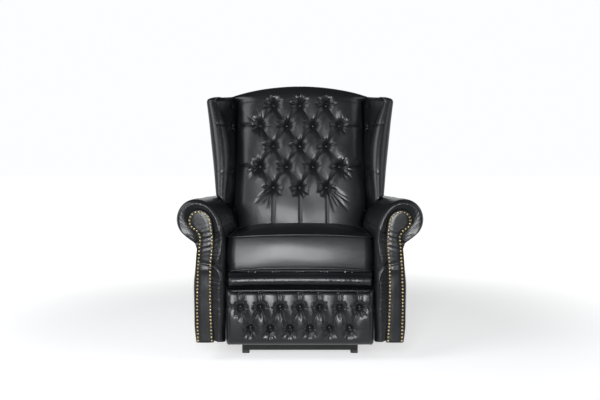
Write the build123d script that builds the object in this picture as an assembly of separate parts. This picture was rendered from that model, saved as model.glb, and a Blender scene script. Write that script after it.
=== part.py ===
"""Wingback recliner: scroll arms, a buttoned back with wings, a boxed seat cushion and a footrest.

All sizes are millimetres.  +Z is up, the sitter faces -Y, and the origin is on the floor under the
middle of the chair.  Right is +X, the right-hand side for someone who stands in front of it.
Each sub-part is written to parts/ under its own name.
"""

from build123d import *
import math
import os

os.makedirs("parts", exist_ok=True)

# ---------------------------------------------------------------- driving dimensions

# Arms, in front view: a straight inner face that curls over into a round scroll.
ARM_INNER_X = 281.0
ARM_BOTTOM_Z = 75.0
ARM_CURL_Z = 457.0            # the inner face starts to curl outwards here
ARM_OUTER_BOTTOM_X = 387.0
ARM_BELLY_X = 395.0           # widest place of the lower outer face
ARM_BELLY_Z = 250.0
ARM_FRONT_Y = -437.0
ARM_REAR_Y = 242.0
ARM_PAD = 28.0                # padding on the inner face
ARM_PANEL = 12.0              # outer panel and rear end
ARM_EDGE_ROUND = 14.0         # rounded front edge of the roll
SCROLL_X = 386.0
SCROLL_Z = 536.0
SCROLL_RADIUS = 73.0
SEAM_RISE = 48.0              # height of the seam between inner pad and roll, above the curl
SEAM_SLANT = 8.0              # the seam falls this far behind the inner pad

# Facing plate on the front of each arm, edged with nails.
FACING_THICKNESS = 5.0
FACING_MARGIN = 7.0           # leather outside the line of nails
NAIL_COUNT = 80
NAIL_RADIUS = 4.8
NAIL_RISE = 2.6
FACING_FOOT_Z = 83.0          # lowest nails
FACING_FOOT_X = (329.5, 380.5)
FACING_KNEE = (335.0, 300.0)
FACING_WAIST_IN = (333.5, 375.0)
FACING_NECK_IN = (327.5, 440.0)
FACING_HEAD_IN = (334.0, 527.0)
FACING_HEAD_TOP = (374.0, 565.0)
FACING_HEAD_OUT = (398.0, 505.0)
FACING_NECK_OUT = (371.5, 455.0)
FACING_HIP_OUT = (383.0, 240.0)
FACING_CROOK_OUT = (377.0, 487.0)
FACING_CROWN_OUT = (408.0, 542.0)
FACING_CROWN_IN = (348.0, 553.0)

# Timber inside the arms.
RAIL = 38.0                   # height of the arm's bottom rail
RAIL_WIDTH = 55.0
POST = 22.0                   # thickness of posts and top rail
POST_PANEL_ROOM = 12.0        # between the posts and the outer panel
POST_BEVEL = 18.0             # on the front post's inner edge, under the crease of the arm's front
TIMBER_GAP = 2.0              # room between timber and inner pad

# Base of steel: two side plates on two cross tubes with four feet.
PLATE = 3.0
TUBE = 22.0
TUBE_WALL = 2.0
FOOT = 28.0
FOOT_HEIGHT = 12.0
FOOT_X = 213.6
FRONT_TUBE_Y = -293.0
REAR_TUBE_Y = 205.0
BASE_PLATE_TOP_Z = 112.0
BASE_PLATE_FRONT_Y = -313.0
TAB_LENGTH = 40.0
BOLT_RADIUS = 4.0
BOLT_HEAD_RADIUS = 7.0
BOLT_HEAD = 4.0
BOLT_Z = 95.0
BOLT_YS = (-280.0, -20.0, 100.0)
APRON_TOP_Z = 250.0
APRON = 20.0                  # rear apron between the arms

# Recline linkage: two pairs of equal swing links carry the seat forwards.
SWING_LENGTH = 110.0
SWING_LEAN = 15.0             # degrees, leaning backwards at rest
SWING_FOOT_Z = 75.0
SWING_FRONT_Y = -210.0
SWING_REAR_Y = 170.0
HINGE = (220.0, 290.0)        # (y, z) of the hinge between seat and back

# Footrest linkage, pivots as (y, z) at rest.
PIVOT_REAR_TOP = (-263.5, 245.0)
PIVOT_FRONT_TOP = (-247.5, 187.0)
PIVOT_REAR_MID = (-190.0, 123.0)
PIVOT_REAR_END = (-185.5, 67.5)
PIVOT_FRONT_END = (-177.0, 72.0)
PIVOT_PAD_UPPER = (-365.0, 245.0)
PIVOT_PAD_LOWER = (-364.5, 185.0)
LINK = 3.0
LINK_GAP = 1.5                # air between one layer of links and the next
LINK_ROUND = 11.0
PIN_RADIUS = 4.0
PIN_CLEARANCE = 0.05
OPEN_PIVOT_HOLE = 5.6         # radius of the holes where the linkage has play
CROSS_TUBE_RADIUS = 8.0
CROSS_TUBE_PLACE = 0.35       # share of the way from the top pivot to the middle one

# Seat.
SEAT_FRAME_FRONT_Y = -405.0
SEAT_FRAME_REAR_Y = 220.0
SEAT_FRAME_BOTTOM_Z = 275.0
SEAT_FRAME_TOP_Z = 331.0
SEAT_RAIL = 40.0
SPRING_COUNT = 5
SPRING_WIRE = 4.0             # thickness of the flattened wire
SPRING_LEAD = 30.0            # straight ends
SPRING_WAVES = 12
SPRING_WIDTH = 44.0
SPRING_SPACING = 92.0
CLIP = 2.0                    # metal over the spring wire
CLIP_WIDTH = 28.0
DECK = 5.0
SEAT_PLATE_BOTTOM_Z = 165.0
SEAT_PLATE_TOP_Z = 320.0

CUSHION_ARM_ROOM = 5.0        # between the cushion and each arm
CUSHION_FRONT_Y = -425.0
CUSHION_BOX = 127.0           # height of the side band between the two pipings
CUSHION_CROWN = 25.0
CUSHION_PULL = 5.0            # how far each side is drawn in half way along
CUSHION_CORNER = 26.0
CUSHION_BACK_GAP = 14.0       # room between cushion and back pad
CORE_INSET = 40.0
CORE_HEIGHT = 100.0
PIPING_RADIUS = 3.5

BORDER_ARM_ROOM = 9.0         # beside the padded bar in front of the seat frame
BORDER_BOTTOM_Z = 276.0
BORDER_TOP_Z = 324.0
BORDER_BULGE = 27.0

# Back, drawn upright: v runs backwards from the front surface, w runs up the slope.
BACK_LEAN = 12.0
BACK_FOOT = (105.0, 480.0)    # (y, z) of v = 0, w = 0
BACK_BOTTOM_W = -125.0
BACK_ARM_ROOM = 4.0           # between the back pad and each arm
BACK_WIDEN_W = 22.0           # from here the pad widens along the curl of the arms
BACK_WIDEN_RISE = 85.0
BACK_WIDE_HALF = 300.0
BACK_TOP_HALF = 286.0
BACK_TOP_W = 645.0            # crown of the arch
BACK_ARCH_RISE = 40.0         # crown above the arch's ends
PAD_FACE_V = -25.0
PAD_REAR_V = 62.0
PAD_ROUND = 62.0              # width of the rounded border of the tufted face
WEBBING = 3.0
WEBBING_WIDTH = 50.0
WEBBING_WS = (0.0, 140.0, 280.0, 420.0)
BACK_PLANK = 22.0
BACK_MID_RAIL_W = 210.0
BACK_FRAME_RISE = 25.0        # the frame ends above the foot of the pad
BACK_FRAME_REAR_V = 195.0
BACK_REAR_V = 228.0
BACK_TOP_CAP = 45.0           # padding over the top of the frame
HINGE_ARM_HALF = 15.0         # steel arm on the hinge: half width at its foot
HINGE_ARM_DROP = 14.0         # its foot lies this far below the hinge
HINGE_ARM_FRONT_KNEE = (-30.0, 55.0)  # (y, z) from the hinge
HINGE_ARM_REAR_KNEE = (42.0, 50.0)
HINGE_ARM_FRONT_TOP = (-4.0, 150.0)
HINGE_ARM_REAR_TOP = (66.0, 150.0)
CAP_DROP = 2.0                # the cap and the outside back lie under the arch of the pad

BUTTON_PITCH = 120.0
BUTTON_ROW_STEP = 96.0
BUTTON_TOP_DROP = 99.0        # top row of buttons below the crown of the arch
BUTTON_ROWS = (2, 3, 2, 3, 2) # gaps between the buttons of each row, from the top
BUTTON_RADIUS = 9.0
BUTTON_RISE = 5.0
TUFT_DEPTH = 22.0
TUFT_RADIUS = 26.0
CREASE_WIDTH = 20.0
CREASE_DEPTH = 11.0

# Wings, one each side of the back.
WING_LOW_W = 40.0
WING_HIGH_W = 610.0
WING_FRONT_V = -121.0
WING_ROLL_V = -87.0           # where the front roll runs into the flat faces
WING_THICKNESS = 72.0         # at the high end
WING_LOW_THICKNESS = 52.0
WING_GAP = 2.5                # room between wing and back pad
WING_ARM_GAP = 6.0            # room between the foot of a wing and the arm
WING_LOW_SIDE = 54.0          # outer face beyond the back pad, at the low and the high end
WING_HIGH_SIDE = 133.0
WING_TOE_IN = 25.0            # the outer face runs inwards towards the rear
WING_WRAP_V = -55.0
WING_BOARD = 16.0
WING_SKIN = 10.0
WING_BOTTOM_Z = 530.0
WING_TOP_Z = 1052.0
WING_TOP_ROUND = 28.0
WING_REACH = 600.0            # depth, to front and rear, of the outline that trims the wings
WING_BUTTONS_Z = (920.0, 705.0)
WING_BUTTON_SHARE = 0.52      # place between back pad and front roll

# Footrest.
FOOTREST_ARM_ROOM = 6.5       # between the footrest and each arm
FOOTREST_BOTTOM_Z = 67.0
FOOTREST_TOP_Z = 272.0
FOOTREST_FACE_Y = -455.0
FOOTREST_BOARD_REAR_Y = -377.0
FOOTREST_BOARD = 18.0
FOOTREST_CORNER = 24.0
FOOTREST_ROUND = 36.0
FOOT_BUTTON_PITCH = 74.2
FOOT_BUTTON_TOP_Z = 207.5
FOOT_BUTTON_LOW_Z = 130.6
FOOT_TUFT_DEPTH = 16.0
FOOT_TUFT_RADIUS = 22.0
FOOT_CREASE_DEPTH = 8.0
BRACKET_FLANGE = 24.0

# ---------------------------------------------------------------- layers of the mechanism

BASE_PLATE_X = (ARM_INNER_X - PLATE, ARM_INNER_X)
SWING_X = (BASE_PLATE_X[0] - LINK_GAP - LINK, BASE_PLATE_X[0] - LINK_GAP)
SEAT_PLATE_X = (SWING_X[0] - LINK_GAP - PLATE, SWING_X[0] - LINK_GAP)


def next_layer(layer):
    """The layer of links just inside another one."""
    return (layer[0] - LINK_GAP - LINK, layer[0] - LINK_GAP)


FRONT_LEG_X = next_layer(SEAT_PLATE_X)
UPPER_LEG_X = next_layer(FRONT_LEG_X)
REAR_LEG_X = next_layer(UPPER_LEG_X)
LOWER_LEG_X = next_layer(REAR_LEG_X)
PAD_BRACKET_X = next_layer(LOWER_LEG_X)

SWING_RUN = SWING_LENGTH * math.sin(math.radians(SWING_LEAN))
SWING_RISE = SWING_LENGTH * math.cos(math.radians(SWING_LEAN))
SWING_FRONT_FOOT = (SWING_FRONT_Y, SWING_FOOT_Z)
SWING_REAR_FOOT = (SWING_REAR_Y, SWING_FOOT_Z)
SWING_FRONT_TOP = (SWING_FRONT_Y + SWING_RUN, SWING_FOOT_Z + SWING_RISE)
SWING_REAR_TOP = (SWING_REAR_Y + SWING_RUN, SWING_FOOT_Z + SWING_RISE)

# ---------------------------------------------------------------- widths that fit between the arms

SEAT_FRAME_HALF = SEAT_PLATE_X[0]
BACK_FRAME_HALF = SWING_X[0]
CUSHION_HALF = ARM_INNER_X - CUSHION_ARM_ROOM
BORDER_HALF = ARM_INNER_X - BORDER_ARM_ROOM
BACK_LOWER_HALF = ARM_INNER_X - BACK_ARM_ROOM
FOOTREST_HALF = ARM_INNER_X - FOOTREST_ARM_ROOM
WING_OUTER_LOW_X = BACK_WIDE_HALF + WING_LOW_SIDE
WING_OUTER_HIGH_X = BACK_TOP_HALF + WING_HIGH_SIDE
BACK_ARCH_W = BACK_TOP_W - BACK_ARCH_RISE
BUTTON_TOP_W = BACK_TOP_W - BUTTON_TOP_DROP

DECK_BOTTOM_Z = SEAT_FRAME_TOP_Z + SPRING_WIRE + CLIP
CUSHION_BOTTOM_Z = DECK_BOTTOM_Z + DECK
BACK_PLACE = Pos(0, *BACK_FOOT) * Rot(-BACK_LEAN, 0, 0)

# ---------------------------------------------------------------- helpers


def save(name, *shapes):
    """Writes one sub-part; several shapes become one group of separate solids."""
    solids = [solid for shape in shapes for solid in shape.solids()]
    export_step(Compound(children=solids), f"parts/{name}.step")


def save_pair(name, right):
    """Writes a right-hand piece and its mirror image."""
    save(name + "_right", right)
    save(name + "_left", mirror(right, Plane.YZ))


def both(right):
    """A right-hand piece together with its mirror image."""
    return [right, mirror(right, Plane.YZ)]


def outline(*edges):
    """A flat face bounded by edges that join end to end."""
    return make_face(edges)


def polygon(*points):
    """A flat face with straight sides."""
    return make_face(Polyline(*points, close=True))


def along_y(face, front, rear):
    """Stretches a front-view (x, z) face from y = front to y = rear."""
    return Pos(0, rear, 0) * extrude(Plane.XZ * face, rear - front)


def along_x(face, x_range):
    """Stretches a side-view (y, z) face between two values of x."""
    low, high = x_range
    return Pos(low, 0, 0) * extrude(Plane.YZ * face, high - low)


def at_depth(face, y):
    """Places a front-view (x, z) face at a depth y."""
    return Plane.XZ.offset(-y) * face


def block(x_range, y_range, z_range):
    """A box between three pairs of limits."""
    lows = (x_range[0], y_range[0], z_range[0])
    sizes = [pair[1] - pair[0] for pair in (x_range, y_range, z_range)]
    return Pos(*lows) * Box(*sizes, align=Align.MIN)


def disc(point, radius):
    """A round face around a (y, z) or (x, z) point."""
    return Pos(*point) * Circle(radius)


def pin(point, layers):
    """A flush pin through every layer from the first to the last."""
    low = min(layer[0] for layer in layers)
    high = max(layer[1] for layer in layers)
    return along_x(disc(point, PIN_RADIUS), (low, high))


def link(points, layer, tight=(), loose=(), wide=()):
    """A flat link round its pivots: tight holes hold a pin, loose ones turn, wide ones have play."""
    rims = [edge for point in points for edge in disc(point, LINK_ROUND).edges()]
    face = make_hull(rims)
    for group, radius in (
        (tight, PIN_RADIUS),
        (loose, PIN_RADIUS + PIN_CLEARANCE),
        (wide, OPEN_PIVOT_HOLE),
    ):
        for point in group:
            face -= disc(point, radius)
    return along_x(face, layer)


def dome(radius, rise):
    """A shallow dome that stands on z = 0."""
    sphere_radius = (radius**2 + rise**2) / (2 * rise)
    half = math.asin(radius / sphere_radius) / 2
    middle = (
        sphere_radius * math.sin(half),
        sphere_radius * math.cos(half) - sphere_radius + rise,
    )
    profile = outline(
        Line((0, 0), (radius, 0)),
        ThreePointArc((radius, 0), middle, (0, rise)),
        Line((0, rise), (0, 0)),
    )
    return revolve(Plane.XZ * profile, Axis.Z)


def facing_front(point, y, shape):
    """Turns a shape that stands on z = 0 so that it stands on the depth y and points forwards."""
    return Pos(point[0], y, point[1]) * Rot(90, 0, 0) * shape


def dimple(point, face_y, radius, depth):
    """A funnel for a button, cut back from the depth face_y."""
    funnel = Cone(BUTTON_RADIUS + 1, radius, depth)
    return facing_front(point, face_y + depth, Pos(0, 0, depth / 2) * funnel)


def groove(start, end, face_y, width, depth):
    """A V-shaped channel between two (x, z) points, cut back from the depth face_y."""
    run = Vector(end[0] - start[0], 0, end[1] - start[1])
    plane = Plane(origin=(start[0], face_y, start[1]), x_dir=(0, 1, 0), z_dir=run.normalized())
    section = polygon((-depth, -width), (-depth, width), (depth, 0))
    return extrude(plane * section, run.length)


# ---------------------------------------------------------------- arms


def scroll_point(degrees, gap=0.0):
    """A point (x, z) on the scroll, or a gap outside it."""
    angle = math.radians(degrees)
    radius = SCROLL_RADIUS + gap
    return (SCROLL_X + radius * math.cos(angle), SCROLL_Z + radius * math.sin(angle))


def scroll_arc(first, last):
    """An arc of the scroll between two angles in degrees."""
    return ThreePointArc(scroll_point(first), scroll_point((first + last) / 2), scroll_point(last))


# The curl is an arc that leaves the inner face upright and runs into the scroll without a corner.
CURL_SIDE = SCROLL_X - ARM_INNER_X
CURL_RISE = SCROLL_Z - ARM_CURL_Z
CURL_RADIUS = (CURL_SIDE**2 + CURL_RISE**2 - SCROLL_RADIUS**2) / (2 * (CURL_SIDE - SCROLL_RADIUS))
CURL_X = ARM_INNER_X + CURL_RADIUS
CURL_END = math.degrees(math.atan2(CURL_RISE, SCROLL_X - CURL_X))
SCROLL_END = -95.0


def curl_point(rise, gap=0.0):
    """The point of the curl at a height above its start, or a gap outside it."""
    return (CURL_X - math.sqrt((CURL_RADIUS + gap) ** 2 - rise**2), ARM_CURL_Z + rise)


SEAM_OUT = curl_point(SEAM_RISE)
SEAM_IN = (ARM_INNER_X + ARM_PAD + SEAM_SLANT, SEAM_OUT[1] - SEAM_SLANT)
ARM_UNDER = scroll_point(SCROLL_END)


def roll_underside(x):
    """The point of the roll's flat underside at x."""
    share = (x - SEAM_IN[0]) / (ARM_UNDER[0] - SEAM_IN[0])
    return (x, SEAM_IN[1] + share * (ARM_UNDER[1] - SEAM_IN[1]))


def arm_roll_face():
    scroll_start = scroll_point(CURL_END)
    middle_rise = (SEAM_OUT[1] + scroll_start[1]) / 2 - ARM_CURL_Z
    return outline(
        ThreePointArc(SEAM_OUT, curl_point(middle_rise), scroll_start),
        scroll_arc(CURL_END, CURL_END - 115),
        scroll_arc(CURL_END - 115, SCROLL_END),
        Line(ARM_UNDER, SEAM_IN),
        Line(SEAM_IN, SEAM_OUT),
    )


def inside_arm_face():
    inner = ARM_INNER_X + ARM_PAD
    return outline(
        Line((ARM_INNER_X, ARM_BOTTOM_Z), (ARM_INNER_X, ARM_CURL_Z)),
        ThreePointArc((ARM_INNER_X, ARM_CURL_Z), curl_point(SEAM_RISE / 2), SEAM_OUT),
        Line(SEAM_OUT, SEAM_IN),
        Line(SEAM_IN, (inner, ARM_CURL_Z)),
        Line((inner, ARM_CURL_Z), (inner, ARM_BOTTOM_Z)),
        Line((inner, ARM_BOTTOM_Z), (ARM_INNER_X, ARM_BOTTOM_Z)),
    )


def outside_arm_face():
    top = roll_underside(ARM_UNDER[0] - ARM_PANEL)
    foot = (ARM_OUTER_BOTTOM_X, ARM_BOTTOM_Z)
    inner_foot = (ARM_OUTER_BOTTOM_X - ARM_PANEL, ARM_BOTTOM_Z)
    return outline(
        ThreePointArc(ARM_UNDER, (ARM_BELLY_X, ARM_BELLY_Z), foot),
        Line(foot, inner_foot),
        ThreePointArc(inner_foot, (ARM_BELLY_X - ARM_PANEL, ARM_BELLY_Z), top),
        Line(top, ARM_UNDER),
    )


def arm_rear_face():
    """The hollow between the two panels, closed at the rear end."""
    inner = ARM_INNER_X + ARM_PAD
    top = roll_underside(ARM_UNDER[0] - ARM_PANEL)
    inner_foot = (ARM_OUTER_BOTTOM_X - ARM_PANEL, ARM_BOTTOM_Z)
    return outline(
        Line((inner, ARM_BOTTOM_Z), (inner, ARM_CURL_Z)),
        Line((inner, ARM_CURL_Z), SEAM_IN),
        Line(SEAM_IN, top),
        ThreePointArc(top, (ARM_BELLY_X - ARM_PANEL, ARM_BELLY_Z), inner_foot),
        Line(inner_foot, (inner, ARM_BOTTOM_Z)),
    )


def nail_path():
    """The line of nails: up the outer side, round the head and down the inner side."""
    foot_in = (FACING_FOOT_X[0], FACING_FOOT_Z)
    foot_out = (FACING_FOOT_X[1], FACING_FOOT_Z)
    return [
        ThreePointArc(foot_out, FACING_HIP_OUT, FACING_NECK_OUT),
        ThreePointArc(FACING_NECK_OUT, FACING_CROOK_OUT, FACING_HEAD_OUT),
        ThreePointArc(FACING_HEAD_OUT, FACING_CROWN_OUT, FACING_HEAD_TOP),
        ThreePointArc(FACING_HEAD_TOP, FACING_CROWN_IN, FACING_HEAD_IN),
        ThreePointArc(FACING_HEAD_IN, FACING_NECK_IN, FACING_WAIST_IN),
        ThreePointArc(FACING_WAIST_IN, FACING_KNEE, foot_in),
    ]


def make_arm():
    rail_top = ARM_BOTTOM_Z + RAIL
    rail_front = BASE_PLATE_FRONT_Y - PLATE
    rear_inside = ARM_REAR_Y - ARM_PANEL
    rail_y = (rail_front, rear_inside)
    rail_x = (ARM_INNER_X, ARM_INNER_X + RAIL_WIDTH)
    post_rear_x = ARM_OUTER_BOTTOM_X - ARM_PANEL - POST_PANEL_ROOM
    post_x = (ARM_INNER_X + ARM_PAD + TIMBER_GAP, post_rear_x)
    post_top = ARM_CURL_Z - POST

    roll = along_y(arm_roll_face(), ARM_FRONT_Y, ARM_REAR_Y)
    rim = [
        edge
        for edge in roll.edges().group_by(Axis.Y)[0]
        if (edge @ 0.5).X > SCROLL_X or (edge @ 0.5).Z > SCROLL_Z + SCROLL_RADIUS / 2
    ]
    roll = fillet([edge for edge in rim if (edge @ 0.5).Z > ARM_UNDER[1] + 1], ARM_EDGE_ROUND)
    save_pair("arm_roll", roll)

    inside = along_y(inside_arm_face(), ARM_FRONT_Y, ARM_REAR_Y)
    inside -= block((rail_x[0], rail_x[1]), (rail_y[0], ARM_REAR_Y), (ARM_BOTTOM_Z, rail_top))
    save_pair("inside_arm", inside)

    outside = along_y(outside_arm_face(), ARM_FRONT_Y, ARM_REAR_Y)
    outside += along_y(arm_rear_face(), rear_inside, ARM_REAR_Y)
    save_pair("outside_arm", outside)

    holes = [
        along_x(disc((y, BOLT_Z), BOLT_RADIUS), (ARM_INNER_X, ARM_INNER_X + RAIL)) for y in BOLT_YS
    ]
    rail = block(rail_x, rail_y, (ARM_BOTTOM_Z, rail_top)) - holes
    front_post = block(
        post_x, (ARM_FRONT_Y + 4, ARM_FRONT_Y + 4 + POST), (ARM_BOTTOM_Z + 4, post_top)
    )
    front_edges = front_post.edges().filter_by(Axis.Z).group_by(Axis.Y)[0]
    timbers = [
        rail,
        chamfer(front_edges.sort_by(Axis.X)[0], POST_BEVEL),
        block(post_x, (rear_inside - POST, rear_inside), (rail_top, post_top)),
        block(post_x, (ARM_FRONT_Y + 4, rear_inside), (post_top, post_top + POST)),
    ]
    save("arm_frames", *[piece for timber in timbers for piece in both(timber)])

    path = nail_path()
    foot_line = Line(path[-1] @ 1, path[0] @ 0)
    plate = offset(outline(*path, foot_line), FACING_MARGIN)
    limits = Pos(SCROLL_X, SCROLL_Z) * Rectangle(2 * CURL_SIDE, 2 * (SCROLL_Z - ARM_BOTTOM_Z))
    front = ARM_FRONT_Y - FACING_THICKNESS
    save_pair("arm_facing", along_y(plate & limits, front, ARM_FRONT_Y))

    line = Wire(path)
    nail = dome(NAIL_RADIUS, NAIL_RISE)
    spots = [line @ (index / (NAIL_COUNT - 1)) for index in range(NAIL_COUNT)]
    nails = [facing_front((spot.X, spot.Y), front, nail) for spot in spots]
    save("nailheads", *[piece for one in nails for piece in both(one)])


# ---------------------------------------------------------------- base


def make_base():
    tab_x = (FOOT_X - FOOT / 2, ARM_INNER_X)
    tab_z = (FOOT_HEIGHT + TUBE, FOOT_HEIGHT + TUBE + PLATE)
    plate_face = polygon(
        (BASE_PLATE_FRONT_Y, tab_z[0]),
        (ARM_REAR_Y - APRON - 3, tab_z[0]),
        (ARM_REAR_Y - APRON - 3, BASE_PLATE_TOP_Z),
        (BASE_PLATE_FRONT_Y, BASE_PLATE_TOP_Z),
    )
    for point in [(y, BOLT_Z) for y in BOLT_YS]:
        plate_face -= disc(point, BOLT_RADIUS)
    for point in (SWING_FRONT_FOOT, SWING_REAR_FOOT):
        plate_face -= disc(point, PIN_RADIUS)
    plate = along_x(plate_face, BASE_PLATE_X)
    tubes, feet, bolts = [], [], []
    for y in (FRONT_TUBE_Y, REAR_TUBE_Y):
        tab_y = (y - TAB_LENGTH / 2 + 5, y + TAB_LENGTH / 2 - 5)
        half = FOOT_X + FOOT / 2
        hole = Pos(FOOT_X, y, 0) * Cylinder(BOLT_RADIUS, 2 * BASE_PLATE_TOP_Z)
        plate += block(tab_x, tab_y, tab_z)
        plate -= hole
        tube = block((-half, half), (y - TUBE / 2, y + TUBE / 2), (FOOT_HEIGHT, tab_z[0]))
        bore_y = (y - TUBE / 2 + TUBE_WALL, y + TUBE / 2 - TUBE_WALL)
        bore_z = (FOOT_HEIGHT + TUBE_WALL, tab_z[0] - TUBE_WALL)
        tube -= block((-half, half), bore_y, bore_z)
        tubes.append(tube - hole - mirror(hole, Plane.YZ))
        foot = Pos(FOOT_X, y, FOOT_HEIGHT / 2) * Box(FOOT, FOOT, FOOT_HEIGHT)
        foot = fillet(foot.edges().filter_by(Axis.Z), 5)
        shank = Pos(FOOT_X, y, FOOT_HEIGHT / 2) * Cylinder(
            BOLT_RADIUS, tab_z[1] - FOOT_HEIGHT / 2, align=(Align.CENTER, Align.CENTER, Align.MIN)
        )
        feet += both(foot - shank)
        head = Pos(FOOT_X, y, tab_z[1]) * Cylinder(
            BOLT_HEAD_RADIUS, BOLT_HEAD, align=(Align.CENTER, Align.CENTER, Align.MIN)
        )
        bolts += both(shank + head)
    save_pair("base_side_plate", plate)
    save("base_tubes", *tubes)
    save("glide_feet", *feet)

    for y in BOLT_YS:
        head_x = (BASE_PLATE_X[0] - BOLT_HEAD, BASE_PLATE_X[0])
        head = along_x(disc((y, BOLT_Z), BOLT_HEAD_RADIUS), head_x)
        shank = along_x(disc((y, BOLT_Z), BOLT_RADIUS), (BASE_PLATE_X[0], ARM_INNER_X + RAIL))
        bolts += both(head + shank)
    save("frame_bolts", *bolts)

    apron_y = (ARM_REAR_Y - APRON, ARM_REAR_Y)
    save("rear_apron", block((-ARM_INNER_X, ARM_INNER_X), apron_y, (ARM_BOTTOM_Z, APRON_TOP_Z)))
    pins = [pin(point, (SWING_X, BASE_PLATE_X)) for point in (SWING_FRONT_FOOT, SWING_REAR_FOOT)]
    save("base_pivot_pins", *[piece for one in pins for piece in both(one)])


# ---------------------------------------------------------------- linkages


def make_links():
    for name, foot, top in (
        ("front_swing_links", SWING_FRONT_FOOT, SWING_FRONT_TOP),
        ("rear_swing_links", SWING_REAR_FOOT, SWING_REAR_TOP),
    ):
        save(name, *both(link((foot, top), SWING_X, loose=(foot, top))))

    rear_points = (PIVOT_REAR_TOP, PIVOT_REAR_MID, PIVOT_REAR_END)
    upper_points = (PIVOT_FRONT_END, PIVOT_REAR_MID, PIVOT_PAD_UPPER)
    front_points = (PIVOT_FRONT_TOP, PIVOT_FRONT_END)
    lower_points = (PIVOT_REAR_END, PIVOT_PAD_LOWER)
    ends = (PIVOT_REAR_MID, PIVOT_REAR_END)
    save_pair("rear_leg_link", link(rear_points, REAR_LEG_X, tight=ends, loose=rear_points[:1]))
    save_pair(
        "upper_leg_link",
        link(
            upper_points,
            UPPER_LEG_X,
            tight=(PIVOT_PAD_UPPER, PIVOT_FRONT_END),
            loose=(PIVOT_REAR_MID,),
        ),
    )
    save_pair(
        "front_leg_link",
        link(front_points, FRONT_LEG_X, loose=(PIVOT_FRONT_TOP,), wide=(PIVOT_FRONT_END,)),
    )
    save_pair(
        "lower_leg_link",
        link(lower_points, LOWER_LEG_X, loose=(PIVOT_REAR_END,), wide=(PIVOT_PAD_LOWER,)),
    )

    rear_pins = [
        pin(PIVOT_REAR_MID, (UPPER_LEG_X, REAR_LEG_X)),
        pin(PIVOT_REAR_END, (REAR_LEG_X, LOWER_LEG_X)),
    ]
    save("rear_leg_pins", *[piece for one in rear_pins for piece in both(one)])
    upper_pins = [
        pin(PIVOT_FRONT_END, (FRONT_LEG_X, UPPER_LEG_X)),
        pin(PIVOT_PAD_UPPER, (UPPER_LEG_X, PAD_BRACKET_X)),
    ]
    save("upper_leg_pins", *[piece for one in upper_pins for piece in both(one)])

    top, mid = PIVOT_REAR_TOP, PIVOT_REAR_MID
    place = [a + CROSS_TUBE_PLACE * (b - a) for a, b in zip(top, mid)]
    tube = disc(place, CROSS_TUBE_RADIUS) - disc(place, CROSS_TUBE_RADIUS - TUBE_WALL)
    save("leg_cross_tube", along_x(tube, (-REAR_LEG_X[0], REAR_LEG_X[0])))


# ---------------------------------------------------------------- seat


def seat_plate():
    face = polygon(
        (PIVOT_REAR_TOP[0] - 22, SEAT_PLATE_BOTTOM_Z),
        (ARM_REAR_Y - APRON - 8, SEAT_PLATE_BOTTOM_Z),
        (ARM_REAR_Y - APRON - 8, HINGE[1] - 26),
        (HINGE[0] + 18, HINGE[1] - 14),
        (HINGE[0] + 18, HINGE[1] + 14),
        (HINGE[0] + 4, SEAT_PLATE_TOP_Z),
        (PIVOT_REAR_TOP[0] - 60, SEAT_PLATE_TOP_Z),
        (PIVOT_REAR_TOP[0] - 60, SEAT_FRAME_BOTTOM_Z),
    )
    pivots = (PIVOT_REAR_TOP, PIVOT_FRONT_TOP, SWING_FRONT_TOP, SWING_REAR_TOP, HINGE)
    for point in pivots:
        face -= disc(point, PIN_RADIUS)
    return along_x(face, SEAT_PLATE_X)


def seat_rail_blocks():
    half, rail = SEAT_FRAME_HALF, SEAT_RAIL
    z_range = (SEAT_FRAME_BOTTOM_Z, SEAT_FRAME_TOP_Z)
    front, rear = SEAT_FRAME_FRONT_Y, SEAT_FRAME_REAR_Y
    side = block((half - rail, half), (front, rear), z_range)
    inner = (rail - half, half - rail)
    return both(side) + [
        block(inner, (front, front + rail), z_range),
        block(inner, (rear - rail, rear), z_range),
    ]


def spring_line(x):
    """The plan of one zigzag from the middle of the front rail to the middle of the rear rail."""
    start = SEAT_FRAME_FRONT_Y + SEAT_RAIL / 2
    end = SEAT_FRAME_REAR_Y - SEAT_RAIL / 2
    step = (end - start - 2 * SPRING_LEAD) / SPRING_WAVES
    points = [(x, start)]
    for index in range(SPRING_WAVES):
        side = SPRING_WIDTH / 2 if index % 2 else -SPRING_WIDTH / 2
        y = start + SPRING_LEAD + index * step
        points += [(x + side, y + step * 0.12), (x + side, y + step * 0.88)]
    points.append((x, end))
    return FilletPolyline(*points, radius=step * 0.3)


def make_springs():
    middle = (SPRING_COUNT - 1) / 2
    spring_top = SEAT_FRAME_TOP_Z + SPRING_WIRE
    springs, clips = [], []
    for index in range(SPRING_COUNT):
        x = (index - middle) * SPRING_SPACING
        flat = trace(spring_line(x), line_width=SPRING_WIRE)
        springs.append(Pos(0, 0, SEAT_FRAME_TOP_Z) * extrude(flat, SPRING_WIRE))
        for y in (SEAT_FRAME_FRONT_Y + SEAT_RAIL / 2, SEAT_FRAME_REAR_Y - SEAT_RAIL / 2):
            y_range = (y - CLIP_WIDTH / 4, y + CLIP_WIDTH / 4)
            x_range = (x - CLIP_WIDTH / 2, x + CLIP_WIDTH / 2)
            clip = block(x_range, y_range, (SEAT_FRAME_TOP_Z, DECK_BOTTOM_Z))
            inner = (x_range[0] + CLIP, x_range[1] - CLIP)
            clips.append(clip - block(inner, y_range, (SEAT_FRAME_TOP_Z, spring_top)))
    save("seat_springs", *springs)
    save("spring_clips", *clips)


def back_surface_y(z):
    """Depth of the back's front surface at a height."""
    return BACK_FOOT[0] + (z - BACK_FOOT[1]) * math.tan(math.radians(BACK_LEAN))


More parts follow.
